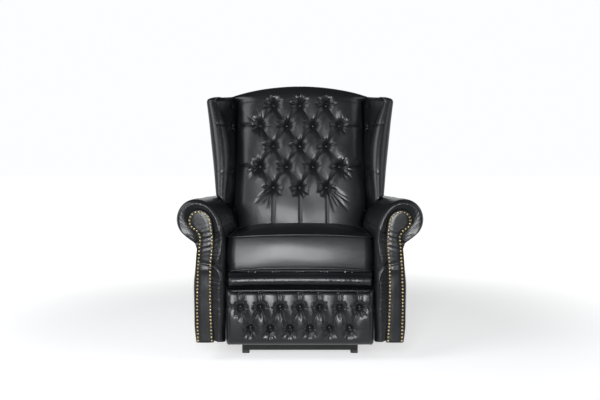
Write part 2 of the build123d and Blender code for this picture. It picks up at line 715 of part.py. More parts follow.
def cushion_section(z, inset, pull):
    """A rounded rectangle with drawn-in sides, inset all round, at a height."""
    half = CUSHION_HALF - inset
    front = CUSHION_FRONT_Y + inset
    rear = back_surface_y(z) - CUSHION_BACK_GAP + PAD_FACE_V - inset
    middle = (front + rear) / 2
    sides = outline(
        ThreePointArc((-half, front), (0, front + pull), (half, front)),
        ThreePointArc((half, front), (half - pull, middle), (half, rear)),
        ThreePointArc((half, rear), (0, rear - pull), (-half, rear)),
        ThreePointArc((-half, rear), (pull - half, middle), (-half, front)),
    )
    return Pos(0, 0, z) * fillet(sides.vertices(), CUSHION_CORNER)


def piping_ring(z, inset):
    """A ring for the piping round the cushion, centred on the height z."""
    outer = cushion_section(z, inset - PIPING_RADIUS, CUSHION_PULL)
    inner = cushion_section(z, inset + PIPING_RADIUS, CUSHION_PULL)
    return extrude(Pos(0, 0, -PIPING_RADIUS) * (outer - inner), 2 * PIPING_RADIUS)


def rounded_ring(ring):
    """The ring with its outer edges rounded, as piping is."""
    levels = ring.faces().filter_by(Axis.Z)
    edges = [edge for face in levels for edge in face.outer_wire().edges()]
    return fillet(edges, PIPING_RADIUS * 0.8)


def make_cushion():
    low, high = CUSHION_BOTTOM_Z, CUSHION_BOTTOM_Z + CUSHION_BOX
    waist = CUSHION_PULL * 0.6
    band = loft(
        [
            cushion_section(low, waist, CUSHION_PULL),
            cushion_section((low + high) / 2, 0, CUSHION_PULL),
            cushion_section(high, waist, CUSHION_PULL),
        ]
    )
    crown = loft(
        [
            cushion_section(high, waist, CUSHION_PULL),
            cushion_section(high + CUSHION_CROWN * 0.62, 42, 1),
            cushion_section(high + CUSHION_CROWN, 125, -1),
        ],
        ruled=True,
    )
    core_rear = back_surface_y(low) - CUSHION_BACK_GAP + PAD_FACE_V - CORE_INSET
    core = block(
        (CORE_INSET - CUSHION_HALF, CUSHION_HALF - CORE_INSET),
        (CUSHION_FRONT_Y + CORE_INSET, core_rear),
        (low, low + CORE_HEIGHT),
    )
    cushion = band + crown - core
    heights = (low + 2 * PIPING_RADIUS, high)
    pipings = [rounded_ring(piping_ring(z, waist)) for z in heights]
    for z in heights:
        cushion -= piping_ring(z, waist)
    save("seat_cushion", cushion)
    save("seat_core", core)
    save("seat_piping", *pipings)


def make_border():
    front, rear = SEAT_FRAME_FRONT_Y - BORDER_BULGE, SEAT_FRAME_FRONT_Y
    middle = (BORDER_BOTTOM_Z + BORDER_TOP_Z) / 2
    shoulder = rear - BORDER_BULGE * 0.45
    face = outline(
        Line((rear, BORDER_BOTTOM_Z), (shoulder, BORDER_BOTTOM_Z)),
        ThreePointArc((shoulder, BORDER_BOTTOM_Z), (front, middle), (shoulder, BORDER_TOP_Z)),
        Line((shoulder, BORDER_TOP_Z), (rear, BORDER_TOP_Z)),
        Line((rear, BORDER_TOP_Z), (rear, BORDER_BOTTOM_Z)),
    )
    save("front_border", along_x(face, (-BORDER_HALF, BORDER_HALF)))


def make_seat():
    save_pair("seat_side_plate", seat_plate())
    save("seat_frame", *seat_rail_blocks())
    make_springs()
    deck_half = SEAT_FRAME_HALF - PLATE
    deck_y = (SEAT_FRAME_FRONT_Y, SEAT_FRAME_REAR_Y - PLATE)
    save("seat_deck", block((-deck_half, deck_half), deck_y, (DECK_BOTTOM_Z, CUSHION_BOTTOM_Z)))
    make_cushion()
    make_border()
    pins = [
        pin(SWING_FRONT_TOP, (SEAT_PLATE_X, SWING_X)),
        pin(SWING_REAR_TOP, (SEAT_PLATE_X, SWING_X)),
        pin(HINGE, (SEAT_PLATE_X, SWING_X)),
        pin(PIVOT_REAR_TOP, (REAR_LEG_X, SEAT_PLATE_X)),
        pin(PIVOT_FRONT_TOP, (FRONT_LEG_X, SEAT_PLATE_X)),
    ]
    save("seat_pivot_pins", *[piece for one in pins for piece in both(one)])


# ---------------------------------------------------------------- back


def back_face(inset=0.0, drop=0.0):
    """The upright outline of the back pad in (x, w), inset all round, with its top lowered."""
    foot = BACK_BOTTOM_W + inset
    lower = BACK_LOWER_HALF - inset
    widen = BACK_WIDEN_W + BACK_WIDEN_RISE
    wide = BACK_WIDE_HALF - inset
    arch_half = BACK_TOP_HALF - inset
    arch_w = BACK_ARCH_W - inset - drop
    right = [(lower, foot), (lower, BACK_WIDEN_W), (wide, widen), (arch_half, arch_w)]
    left = [(-x, w) for x, w in reversed(right)]
    sides = [Line(a, b) for a, b in zip(right, right[1:])]
    sides.append(ThreePointArc(right[-1], (0, BACK_TOP_W - inset - drop), left[0]))
    sides += [Line(a, b) for a, b in zip(left, left[1:])]
    sides.append(Line(left[-1], right[0]))
    return make_face(sides)


def straight_back_face(half, inset, drop):
    """An outline with straight sides and the same arch, in (x, w)."""
    foot = BACK_BOTTOM_W + inset
    half -= inset
    arch_w = BACK_ARCH_W - inset - drop
    return outline(
        Line((half, foot), (half, arch_w)),
        ThreePointArc((half, arch_w), (0, BACK_TOP_W - inset - drop), (-half, arch_w)),
        Line((-half, arch_w), (-half, foot)),
        Line((-half, foot), (half, foot)),
    )


def back_button_rows():
    """The places (x, w) of the buttons, row by row from the top."""
    rows = []
    for index, gaps in enumerate(BUTTON_ROWS):
        w = BUTTON_TOP_W - index * BUTTON_ROW_STEP
        rows.append([((place - gaps / 2) * BUTTON_PITCH, w) for place in range(gaps + 1)])
    return rows


def creases_between(rows, pitch):
    """Pairs of neighbouring buttons, one in each of two rows that follow each other."""
    return [
        (upper, lower)
        for first, second in zip(rows, rows[1:])
        for upper in first
        for lower in second
        if abs(upper[0] - lower[0]) < pitch * 0.6
    ]


def make_inside_back():
    rows = back_button_rows()
    pad = loft(
        [
            at_depth(back_face(), PAD_REAR_V),
            at_depth(back_face(), 0),
            at_depth(back_face(inset=PAD_ROUND * 0.3), PAD_FACE_V * 0.7),
            at_depth(back_face(inset=PAD_ROUND), PAD_FACE_V),
        ],
        ruled=True,
    )
    cap_inner = straight_back_face(BACK_FRAME_HALF, 0, BACK_TOP_CAP)
    cap_outer = straight_back_face(BACK_FRAME_HALF, 0, CAP_DROP)
    cap = along_y(cap_outer, PAD_REAR_V, BACK_FRAME_REAR_V)
    pad += cap - along_y(cap_inner, PAD_REAR_V, BACK_FRAME_REAR_V)

    grooves = creases_between(rows, BUTTON_PITCH)
    for row in (rows[1], rows[3]):
        for sign in (-1, 1):
            start = (sign * abs(row[0][0]), row[0][1])
            grooves.append((start, (sign * (BACK_TOP_HALF - PAD_ROUND / 2), row[0][1])))
    for x, w in rows[-1]:
        grooves.append(((x, w), (x, BACK_BOTTOM_W + PAD_ROUND / 2)))
    grooves.append((rows[0][1], (0, BACK_TOP_W - PAD_ROUND / 2)))
    for start, end in grooves:
        pad -= groove(start, end, PAD_FACE_V, CREASE_WIDTH, CREASE_DEPTH)
    for row in rows:
        for point in row:
            pad -= dimple(point, PAD_FACE_V, TUFT_RADIUS, TUFT_DEPTH)
    save("inside_back", BACK_PLACE * pad)


def make_back_buttons():
    button = dome(BUTTON_RADIUS, BUTTON_RISE)
    seat = PAD_FACE_V + TUFT_DEPTH
    on_pad = [facing_front(point, seat, button) for row in back_button_rows() for point in row]
    on_wings = [piece for place in wing_button_places() for piece in both(place * button)]
    save("back_buttons", *[BACK_PLACE * piece for piece in on_pad + on_wings])


def make_back_frame():
    front, rear = PAD_REAR_V + WEBBING, BACK_FRAME_REAR_V
    foot, half = BACK_BOTTOM_W + BACK_FRAME_RISE, BACK_FRAME_HALF
    inner = (BACK_PLANK - half, half - BACK_PLANK)
    top = BACK_ARCH_W - BACK_TOP_CAP
    upright = block((half - BACK_PLANK, half), (front, rear), (foot, top))
    rails = [block(inner, (front, rear), (w, w + BACK_PLANK)) for w in (foot, BACK_MID_RAIL_W)]
    rails.append(block(inner, (front, rear), (top - BACK_PLANK, top)))
    save("back_frame", *[BACK_PLACE * piece for piece in both(upright) + rails])

    straps = [
        block((-half, half), (PAD_REAR_V, front), (w - WEBBING_WIDTH / 2, w + WEBBING_WIDTH / 2))
        for w in WEBBING_WS
    ]
    save("back_webbing", *[BACK_PLACE * strap for strap in straps])

    outer = loft(
        [
            at_depth(straight_back_face(BACK_LOWER_HALF, 0, CAP_DROP), BACK_FRAME_REAR_V),
            at_depth(straight_back_face(BACK_LOWER_HALF, 2, CAP_DROP), BACK_FRAME_REAR_V + 12),
            at_depth(straight_back_face(BACK_LOWER_HALF, 14, CAP_DROP), BACK_REAR_V - 6),
            at_depth(straight_back_face(BACK_LOWER_HALF, 46, CAP_DROP), BACK_REAR_V),
        ],
        ruled=True,
    )
    save("outside_back", BACK_PLACE * outer)


def back_bracket():
    """The steel arm that carries the back on its hinge."""
    corners = (
        (-HINGE_ARM_HALF, -HINGE_ARM_DROP),
        (HINGE_ARM_HALF, -HINGE_ARM_DROP),
        HINGE_ARM_REAR_KNEE,
        HINGE_ARM_REAR_TOP,
        HINGE_ARM_FRONT_TOP,
        HINGE_ARM_FRONT_KNEE,
    )
    face = polygon(*[(HINGE[0] + y, HINGE[1] + z) for y, z in corners])
    return along_x(face - disc(HINGE, PIN_RADIUS + PIN_CLEARANCE), SWING_X)


# ---------------------------------------------------------------- wings


def wing_share(w):
    return (w - WING_LOW_W) / (WING_HIGH_W - WING_LOW_W)


def wing_outer(w):
    """x of the outer face at its front end."""
    return WING_OUTER_LOW_X + wing_share(w) * (WING_OUTER_HIGH_X - WING_OUTER_LOW_X)


def wing_inner(w):
    """x of the inner face at its rear end, just outside the back pad."""
    slope = (BACK_TOP_HALF - BACK_WIDE_HALF) / (BACK_ARCH_W - BACK_WIDEN_W - BACK_WIDEN_RISE)
    return BACK_WIDE_HALF + slope * (w - BACK_WIDEN_W - BACK_WIDEN_RISE) + WING_GAP


def wing_thickness(w):
    return WING_LOW_THICKNESS + wing_share(w) * (WING_THICKNESS - WING_LOW_THICKNESS)


def board_x(w, v, skin):
    """x of the board's outer face (skin) or inner face (skin + board) at a depth."""
    toe = WING_TOE_IN * (v - WING_WRAP_V) / (BACK_FRAME_REAR_V - WING_WRAP_V)
    return wing_outer(w) - skin - toe


def level(w, *edges):
    return Pos(0, 0, w) * make_face(edges)


def wing_pad_section(w):
    outer = wing_outer(w)
    deep = WING_SKIN + WING_BOARD
    inner_front = (outer - wing_thickness(w), WING_ROLL_V)
    outer_front = (outer, WING_ROLL_V)
    nose = (outer - wing_thickness(w) / 2, WING_FRONT_V)
    side_v = PAD_REAR_V + 1
    points = [
        outer_front,
        (outer, WING_WRAP_V),
        (board_x(w, WING_WRAP_V, deep), WING_WRAP_V),
        (board_x(w, BACK_FRAME_REAR_V, deep), BACK_FRAME_REAR_V),
        (BACK_FRAME_HALF + 1, BACK_FRAME_REAR_V),
        (BACK_FRAME_HALF + 1, side_v),
        (wing_inner(w), side_v),
        inner_front,
    ]
    lines = [Line(a, b) for a, b in zip(points, points[1:])]
    return level(w, *lines, ThreePointArc(inner_front, nose, outer_front))


def wing_board_section(w):
    front, rear, deep = WING_WRAP_V, BACK_FRAME_REAR_V, WING_SKIN + WING_BOARD
    corners = [
        (board_x(w, front, WING_SKIN), front),
        (board_x(w, rear, WING_SKIN), rear),
        (board_x(w, rear, deep), rear),
        (board_x(w, front, deep), front),
    ]
    return Pos(0, 0, w) * polygon(*corners)


def outside_wing_section(w):
    front, rear = WING_WRAP_V, BACK_FRAME_REAR_V
    wrap = rear + WING_SKIN - 2
    edge = BACK_LOWER_HALF + WING_GAP
    return Pos(0, 0, w) * polygon(
        (board_x(w, front, 0), front),
        (board_x(w, rear, 0), rear),
        (board_x(w, rear, 0), wrap),
        (edge, wrap),
        (edge, rear),
        (board_x(w, rear, WING_SKIN), rear),
        (board_x(w, front, WING_SKIN), front),
    )


def wing_limits():
    """The front view of a wing as a bar along y: its foot follows the arm, its top corner is round."""
    gap = WING_ARM_GAP
    foot = curl_point(WING_BOTTOM_Z - ARM_CURL_Z, gap)
    bend = scroll_point(CURL_END, gap)
    middle = curl_point((foot[1] + bend[1]) / 2 - ARM_CURL_Z, gap)
    crest = scroll_point(90, gap)
    top_w = (WING_TOP_Z - BACK_FOOT[1]) / math.cos(math.radians(BACK_LEAN))
    top_corner = (wing_outer(top_w) + 1, WING_TOP_Z)
    face = outline(
        Line((BACK_FRAME_HALF, WING_BOTTOM_Z), foot),
        ThreePointArc(foot, middle, bend),
        ThreePointArc(bend, scroll_point((CURL_END + 90) / 2, gap), crest),
        Line(crest, top_corner),
        Line(top_corner, (BACK_FRAME_HALF, WING_TOP_Z)),
        Line((BACK_FRAME_HALF, WING_TOP_Z), (BACK_FRAME_HALF, WING_BOTTOM_Z)),
    )
    corner = face.vertices().sort_by(Axis.X)[-1]
    return along_y(fillet(corner, WING_TOP_ROUND), -WING_REACH, WING_REACH)


def wing_button_places():
    """Where the wing's buttons stand, in the upright frame of the back."""
    places = []
    for z in WING_BUTTONS_Z:
        w = (z - BACK_FOOT[1]) / math.cos(math.radians(BACK_LEAN))
        rear = Vector(wing_inner(w), PAD_REAR_V, w)
        front = Vector(wing_outer(w) - wing_thickness(w), WING_ROLL_V, w)
        spot = rear + (front - rear) * WING_BUTTON_SHARE
        run = (front - rear).normalized()
        inwards = run.cross(Vector(0, 0, 1))
        plane = Plane(origin=spot - inwards * TUFT_DEPTH * 0.7, z_dir=inwards)
        places.append(plane.location)
    return places


def make_wings():
    limits = wing_limits()
    pad = loft([wing_pad_section(WING_LOW_W), wing_pad_section(WING_HIGH_W)], ruled=True)
    depth = TUFT_DEPTH * 0.7
    for place in wing_button_places():
        pad -= place * Pos(0, 0, depth / 2) * Cone(BUTTON_RADIUS + 1, TUFT_RADIUS * 0.8, depth)
    save_pair("wing_pad", (BACK_PLACE * pad) & limits)

    board = loft([wing_board_section(w) for w in (WING_LOW_W, WING_HIGH_W)], ruled=True)
    below_cover = Pos(0, 0, -WING_BOARD) * limits
    save("wing_boards", *both((BACK_PLACE * board) & limits & below_cover))

    skin = loft([outside_wing_section(w) for w in (WING_LOW_W, WING_HIGH_W)], ruled=True)
    save_pair("outside_wing", (BACK_PLACE * skin) & limits)


def make_back():
    make_inside_back()
    make_back_buttons()
    make_back_frame()
    save_pair("back_bracket", back_bracket())
    make_wings()


# ---------------------------------------------------------------- footrest


def footrest_face(inset=0.0):
    """The front view of the footrest, with rounded lower corners, inset all round."""
    low, high = FOOTREST_BOTTOM_Z + inset, FOOTREST_TOP_Z - inset
    half = FOOTREST_HALF - inset
    corner = FOOTREST_CORNER
    diagonal = corner * (1 - math.sqrt(0.5))
    return outline(
        Line((half, high), (-half, high)),
        Line((-half, high), (-half, low + corner)),
        ThreePointArc(
            (-half, low + corner), (diagonal - half, low + diagonal), (corner - half, low)
        ),
        Line((corner - half, low), (half - corner, low)),
        ThreePointArc(
            (half - corner, low), (half - diagonal, low + diagonal), (half, low + corner)
        ),
        Line((half, low + corner), (half, high)),
    )


def foot_button_rows():
    """The places (x, z) of the footrest's buttons: seven above, six below."""
    rows = []
    for gaps, z in ((6, FOOT_BUTTON_TOP_Z), (5, FOOT_BUTTON_LOW_Z)):
        rows.append([((place - gaps / 2) * FOOT_BUTTON_PITCH, z) for place in range(gaps + 1)])
    return rows


def make_footrest():
    rear = FOOTREST_BOARD_REAR_Y
    seam = rear - FOOTREST_BOARD
    face_y = FOOTREST_FACE_Y
    depth = seam - face_y
    save("footrest_board", along_y(footrest_face(inset=4), seam, rear))

    pad = loft(
        [
            at_depth(footrest_face(inset=2), seam),
            at_depth(footrest_face(), seam - depth * 0.45),
            at_depth(footrest_face(inset=FOOTREST_ROUND * 0.35), face_y + depth * 0.12),
            at_depth(footrest_face(inset=FOOTREST_ROUND), face_y),
        ],
        ruled=True,
    )
    rows = foot_button_rows()
    grooves = creases_between(rows, FOOT_BUTTON_PITCH)
    grooves += [((x, z), (x, FOOTREST_TOP_Z - FOOTREST_ROUND / 2)) for x, z in rows[0]]
    grooves += [((x, z), (x, FOOTREST_BOTTOM_Z + FOOTREST_ROUND / 2)) for x, z in rows[1]]
    for start, end in grooves:
        pad -= groove(start, end, face_y, CREASE_WIDTH * 0.8, FOOT_CREASE_DEPTH)
    for row in rows:
        for point in row:
            pad -= dimple(point, face_y, FOOT_TUFT_RADIUS, FOOT_TUFT_DEPTH)

    piping_at = (seam - depth * 0.72, FOOTREST_TOP_Z - PIPING_RADIUS)
    half = FOOTREST_HALF - CUSHION_CORNER / 2
    piping = along_x(disc(piping_at, PIPING_RADIUS), (-half, half))
    save("footrest_pad", pad - piping)
    save("footrest_piping", piping)

    button = dome(BUTTON_RADIUS, BUTTON_RISE)
    seat = face_y + FOOT_TUFT_DEPTH
    save("footrest_buttons", *[facing_front(point, seat, button) for row in rows for point in row])

    low, high = PIVOT_PAD_LOWER, PIVOT_PAD_UPPER
    web = polygon(
        (rear, low[1] - 18),
        (low[0] + 12, low[1] - 10),
        (high[0] + 12, high[1] + 10),
        (rear, high[1] + 18),
    )
    web -= disc(low, PIN_RADIUS)
    web -= disc(high, PIN_RADIUS + PIN_CLEARANCE)
    flange_x = (PAD_BRACKET_X[1] - BRACKET_FLANGE, PAD_BRACKET_X[1])
    flange = block(flange_x, (rear, rear + LINK), (low[1] - 18, high[1] + 18))
    save_pair("footrest_bracket", along_x(web, PAD_BRACKET_X) + flange)
    save("footrest_pins", *both(pin(low, (LOWER_LEG_X, PAD_BRACKET_X))))


make_arm()
make_base()
make_links()
make_seat()
make_back()
make_footrest()
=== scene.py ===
# %% [markdown]
# # A wingback recliner in black leather
#
# The chair has a steel and timber inside, which arrives as a finished frame, and a skin of padded
# leather, which is made here: a deep-buttoned back between two wings, scroll arms edged with brass
# nails, a boxed seat cushion and a buttoned footrest.  Sizes are metres, +Z is up and the sitter
# faces -Y.  Every piece keeps its object at the origin and carries its place in its mesh.

import math

import bmesh
import bpy
import numpy as np
from mathutils import Matrix, Vector


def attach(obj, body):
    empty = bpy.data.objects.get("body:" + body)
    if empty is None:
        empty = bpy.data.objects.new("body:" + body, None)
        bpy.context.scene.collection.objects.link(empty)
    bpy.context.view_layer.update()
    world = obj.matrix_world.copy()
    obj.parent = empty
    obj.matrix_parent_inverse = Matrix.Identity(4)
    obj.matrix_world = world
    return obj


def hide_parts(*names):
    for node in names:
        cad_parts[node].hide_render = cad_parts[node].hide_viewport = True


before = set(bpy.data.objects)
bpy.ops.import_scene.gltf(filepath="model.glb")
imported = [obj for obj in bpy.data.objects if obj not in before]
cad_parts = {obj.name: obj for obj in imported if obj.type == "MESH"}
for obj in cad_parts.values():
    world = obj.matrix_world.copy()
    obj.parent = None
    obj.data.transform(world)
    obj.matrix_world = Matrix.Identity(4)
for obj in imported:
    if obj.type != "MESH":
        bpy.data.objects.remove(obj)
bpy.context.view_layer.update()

# %% [markdown]
# ## The camera
#
# The photograph looks straight at the chair from a little above the arms.  The distance comes from
# how much smaller the back appears than the arm fronts, and the lens from the chair's height in
# the picture.  A small downward pitch puts the horizon where the photograph has it.

# %% The camera
CAMERA_Y = -3.04
CAMERA_Z = 0.727
FOCAL_PIXELS = 702.0
IMAGE_WIDTH, IMAGE_HEIGHT = 600, 400
HORIZON_ROW = 168.2
SENSOR = 36.0

camera_data = bpy.data.cameras.new("camera")
camera_data.sensor_width = SENSOR
camera_data.lens = FOCAL_PIXELS / IMAGE_WIDTH * SENSOR
camera = bpy.data.objects.new("camera", camera_data)
camera.location = (0, CAMERA_Y, CAMERA_Z)
pitch = math.atan((IMAGE_HEIGHT / 2 - HORIZON_ROW) / FOCAL_PIXELS)
camera.rotation_euler = (math.pi / 2 - pitch, 0, 0)
bpy.context.scene.collection.objects.link(camera)
bpy.context.scene.camera = camera
bpy.context.scene.view_settings.view_transform = "Standard"
print("lens", round(camera_data.lens, 2), "pitch", round(math.degrees(pitch), 2))

# %% [markdown]
# ## Short ways to build node trees
#
# The floor, the world and every finish are trees of shader nodes.  They could be wired by hand in
# the shader editor.  Here a few helpers keep the wiring short: one adds a node with its settings,
# one does arithmetic on two sockets or numbers, and one maps a value to a new range.  The last one
# tells what the camera sees from what a glossy surface mirrors, so a backdrop can look white
# without adding light.

# %% Helpers for node trees


def add_node(tree, kind, **settings):
    """A new node of a tree with its settings."""
    node = tree.nodes.new(kind)
    for name, value in settings.items():
        setattr(node, name, value)
    return node


def math_of(tree, operation, first, second):
    """The result of a Math node on two sockets or numbers."""
    node = add_node(tree, "ShaderNodeMath", operation=operation)
    for socket, value in zip(node.inputs, (first, second)):
        if isinstance(value, (int, float)):
            socket.default_value = value
        else:
            tree.links.new(value, socket)
    return node.outputs["Value"]


def map_value(tree, value, reach, low, high, curve="SMOOTHSTEP"):
    """Runs from low to high while the value runs through its reach."""
    node = add_node(tree, "ShaderNodeMapRange", interpolation_type=curve)
    for name, number in zip(("From Min", "From Max", "To Min", "To Max"), (*reach, low, high)):
        node.inputs[name].default_value = number
    tree.links.new(value, node.inputs["Value"])
    return node.outputs["Result"]


def by_ray(tree, for_camera, for_mirrors):
    """One value for camera rays, one for glossy and transmission rays, and zero for light."""
    path = add_node(tree, "ShaderNodeLightPath").outputs
    mirrors = math_of(tree, "MAXIMUM", path["Is Glossy Ray"], path["Is Transmission Ray"])
    first = math_of(tree, "MULTIPLY", path["Is Camera Ray"], for_camera)
    second = math_of(tree, "MULTIPLY", mirrors, for_mirrors)
    return math_of(tree, "ADD", first, second)


# %% [markdown]
# ## Floor, lamps and world
#
# Black leather shows itself by what it mirrors, so the lamps are large soft panels: one in front,
# which draws the broad highlights on the cushion and the lower back, one high on the left, which
# throws the soft shadow to the right, and a weak one on the right.  The chair stands on a white
# sheet that runs on behind it as the backdrop; in front of the sheet the studio is dim, and the
# leather keeps its deep black by mirroring that.  The camera sees plain white on all sides: a glow
# in the floor and the world makes up what the lamps don't reach, and the shadow stays.

# %% The floor
FLOOR_SIZE = 60.0
SHEET_COLOR = (0.56, 0.56, 0.565, 1)
DIM_COLOR = (0.03, 0.03, 0.03, 1)
SHEET_EDGE_Y = (-1.15, -0.65)
GLOW_REACH = (0.9, 2.6)
SHEET_GLOW = 0.58
DIM_GLOW = 0.95


def floor_material():
    """White sheet, dim floor in front of it, and the glow that the camera and mirrors see."""
    material = bpy.data.materials.new("floor_white")
    material.use_nodes = True
    tree = material.node_tree
    shader = tree.nodes["Principled BSDF"]
    shader.inputs["Roughness"].default_value = 0.9
    shader.inputs["Specular IOR Level"].default_value = 0.1
    shader.inputs["Emission Color"].default_value = (1, 1, 1, 1)
    place = add_node(tree, "ShaderNodeTexCoord").outputs["Object"]
    split = add_node(tree, "ShaderNodeSeparateXYZ")
    tree.links.new(place, split.inputs["Vector"])
    far = add_node(tree, "ShaderNodeVectorMath", operation="LENGTH")
    tree.links.new(place, far.inputs[0])
    sheet = map_value(tree, split.outputs["Y"], SHEET_EDGE_Y, 0.0, 1.0)
    mix = add_node(tree, "ShaderNodeMix", data_type="RGBA")
    tree.links.new(sheet, mix.inputs["Factor"])
    mix.inputs["A"].default_value = DIM_COLOR
    mix.inputs["B"].default_value = SHEET_COLOR
    tree.links.new(mix.outputs["Result"], shader.inputs["Base Color"])
    glow = map_value(tree, far.outputs["Value"], GLOW_REACH, SHEET_GLOW, 1.0)
    beyond = map_value(tree, split.outputs["Y"], SHEET_EDGE_Y, DIM_GLOW, SHEET_GLOW)
    seen = math_of(tree, "MAXIMUM", glow, beyond)
    mirrored_glow = math_of(tree, "MULTIPLY", glow, sheet)
    tree.links.new(by_ray(tree, seen, mirrored_glow), shader.inputs["Emission Strength"])
    return material


def add_floor():
    mesh = bpy.data.meshes.new("floor")
    size = FLOOR_SIZE
    corners = [(-size, -size, 0), (size, -size, 0), (size, size, 0), (-size, size, 0)]
    mesh.from_pydata(corners, [], [(0, 1, 2, 3)])
    mesh.materials.append(floor_material())
    floor = bpy.data.objects.new("floor", mesh)
    bpy.context.scene.collection.objects.link(floor)


add_floor()
print("floor", FLOOR_SIZE, "m to each side")

# %% [markdown]
# ### The lamps
#
# A studio lights a dark glossy thing with cloth panels, because a small lamp would show as a hard
# dot in every fold.  Each panel is a rectangular area lamp that is turned towards the chair.  The
# colour is that of daylight, a little cool, as the grey of the highlights is in the photograph.

# %% The lamps
LAMP_COLOR = (0.96, 0.98, 1.0)
LAMPS = {  # place, target, width and height, watts
    "front_panel": ((-0.22, -3.7, 1.1), (0, -0.3, 0.6), (1.0, 1.5), 126),
    "left_panel": ((-2.7, -2.2, 2.3), (0, 0, 0.6), (2.0, 2.6), 88),
    "right_panel": ((2.9, -1.8, 1.8), (0, 0, 0.6), (2.0, 2.6), 34),
}


def add_lamp(name, place, target, size, power):
    """A soft rectangular panel that faces the target."""
    data = bpy.data.lights.new(name, "AREA")
    data.shape = "RECTANGLE"
    data.size, data.size_y = size
    data.energy = power
    data.color = LAMP_COLOR
    lamp = bpy.data.objects.new(name, data)
    lamp.location = place
    direction = Vector(target) - Vector(place)
    lamp.rotation_euler = direction.to_track_quat("-Z", "Y").to_euler()
    bpy.context.scene.collection.objects.link(lamp)


for lamp_name, lamp_facts in LAMPS.items():
    add_lamp(lamp_name, *lamp_facts)
print("lamps", {name: facts[-1] for name, facts in LAMPS.items()})

# %% [markdown]
# ### The world
#
# Round the horizon the world is white, as a studio wall, and dark overhead.  A mirror sees the wall
# only behind the chair.  A weak even fill stands for all the light that a real room scatters.

# %% The world
WORLD_COLOR = (0.97, 0.985, 1.0, 1)
WALL_TOP = (0.28, 0.6)
WALL_FRONT = (-0.3, 0.1)
FILL = 0.07
CEILING = 0.03
DIM_ROOM = 0.12


def set_world():
    """White round the horizon for the camera, white behind the chair for mirrors, soft fill."""
    world = bpy.data.worlds.new("studio")
    bpy.context.scene.world = world
    world.use_nodes = True
    tree = world.node_tree
    background = tree.nodes["Background"]
    background.inputs["Color"].default_value = WORLD_COLOR
    split = add_node(tree, "ShaderNodeSeparateXYZ")
    way = add_node(tree, "ShaderNodeTexCoord").outputs["Generated"]
    tree.links.new(way, split.inputs["Vector"])
    band = map_value(tree, split.outputs["Z"], WALL_TOP, 1.0, CEILING)
    behind = map_value(tree, split.outputs["Y"], WALL_FRONT, DIM_ROOM, 1.0)
    mirrored_band = math_of(tree, "MULTIPLY", band, behind)
    seen = by_ray(tree, band, mirrored_band)
    tree.links.new(math_of(tree, "MAXIMUM", seen, FILL), background.inputs["Strength"])


set_world()
print("world nodes", len(bpy.context.scene.world.node_tree.nodes))

# %% [markdown]
# ## Helpers for meshes
#
# Nearly every leather piece is a grid of points that a formula places, because creases, pleats and
# crowns follow rules.  It could be sculpted or draped by a cloth simulation, but a grid is quick to
# bend as arrays, keeps sharp folds, and gives the same result each run.  `ring_object` turns an
# array of rows, each a ring of points, into a closed piece; `mirrored` makes its partner on the
# other side.

# %% Helpers for meshes


def add_object(name, mesh):
    piece = bpy.data.objects.new(name, mesh)
    bpy.context.scene.collection.objects.link(piece)
    return piece


def grid_faces(rows, columns, ring):
    """Quads over a grid, as an array of indices; a ring joins the last column to the first."""
    index = np.arange(rows * columns).reshape(rows, columns)
    right = np.roll(index, -1, axis=1)
    quads = np.stack([index[:-1], right[:-1], right[1:], index[1:]], axis=-1)
    if not ring:
        quads = quads[:, :-1]
    return quads.reshape(-1, 4)


def outward(piece):
    """Merges doubles and turns all faces of a closed piece outwards."""
    work = bmesh.new()
    work.from_mesh(piece.data)
    bmesh.ops.remove_doubles(work, verts=work.verts, dist=1e-5)
    bmesh.ops.recalc_face_normals(work, faces=work.faces)
    work.to_mesh(piece.data)
    work.free()
    piece.data.shade_smooth()
    return piece


def ring_object(name, points, capped=True):
    """A smooth closed piece over a (rows, columns, 3) array, with a fan over each end."""
    rows, columns = points.shape[:2]
    corners = points.reshape(-1, 3)
    faces = [tuple(face) for face in grid_faces(rows, columns, True).tolist()]
    for row in (0, rows - 1) if capped else ():
        centre = len(corners)
        corners = np.vstack([corners, points[row].mean(axis=0)])
        loop = [row * columns + column for column in range(columns)]
        pairs = zip(loop, loop[1:] + loop[:1])
        faces += [(centre, b, a) if row == 0 else (centre, a, b) for a, b in pairs]
    mesh = bpy.data.meshes.new(name)
    mesh.from_pydata(corners.tolist(), [], faces)
    return outward(add_object(name, mesh))


def mirrored(name, piece):
    """A mirror image of a piece on the other side of the chair."""
    mesh = piece.data.copy()
    mesh.transform(Matrix.Scale(-1, 4, (1, 0, 0)))
    mesh.flip_normals()
    return add_object(name, mesh)


# %% [markdown]
# ### Telling the frame what a piece is
#
# The finished frame has to know of each piece which body it rides on, which material it stands for
# and which plain solid it takes the place of.  Most pieces come in pairs, so one helper finishes
# the right-hand piece and its mirror image together.

# %% Helpers that finish a piece


def finish(piece, body, material, replaced=()):
    """Gives a finished piece its material and body, and hides the nodes that it stands for."""
    piece.data.materials.clear()
    piece.data.materials.append(material)
    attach(piece, body)
    if replaced:
        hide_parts(*replaced)


def finish_pair(right, body, material, node=None):
    """Finishes a right-hand piece and its mirror image; node is the solid's name without side."""
    left = mirrored(right.name.replace("right", "left"), right)
    for side, piece in (("right", right), ("left", left)):
        finish(piece, body, material, [f"{node}_{side}"] if node else ())


# %% [markdown]
# ### Arithmetic on grids
#
# Folds are pressed in along the surface's own normals, a soft step fades one form into the next,
# and a sum of a few sine waves gives the slow unevenness of stuffed leather.  The waves have a
# seed, so each run gives the same chair.

# %% Normals, soft steps and noise


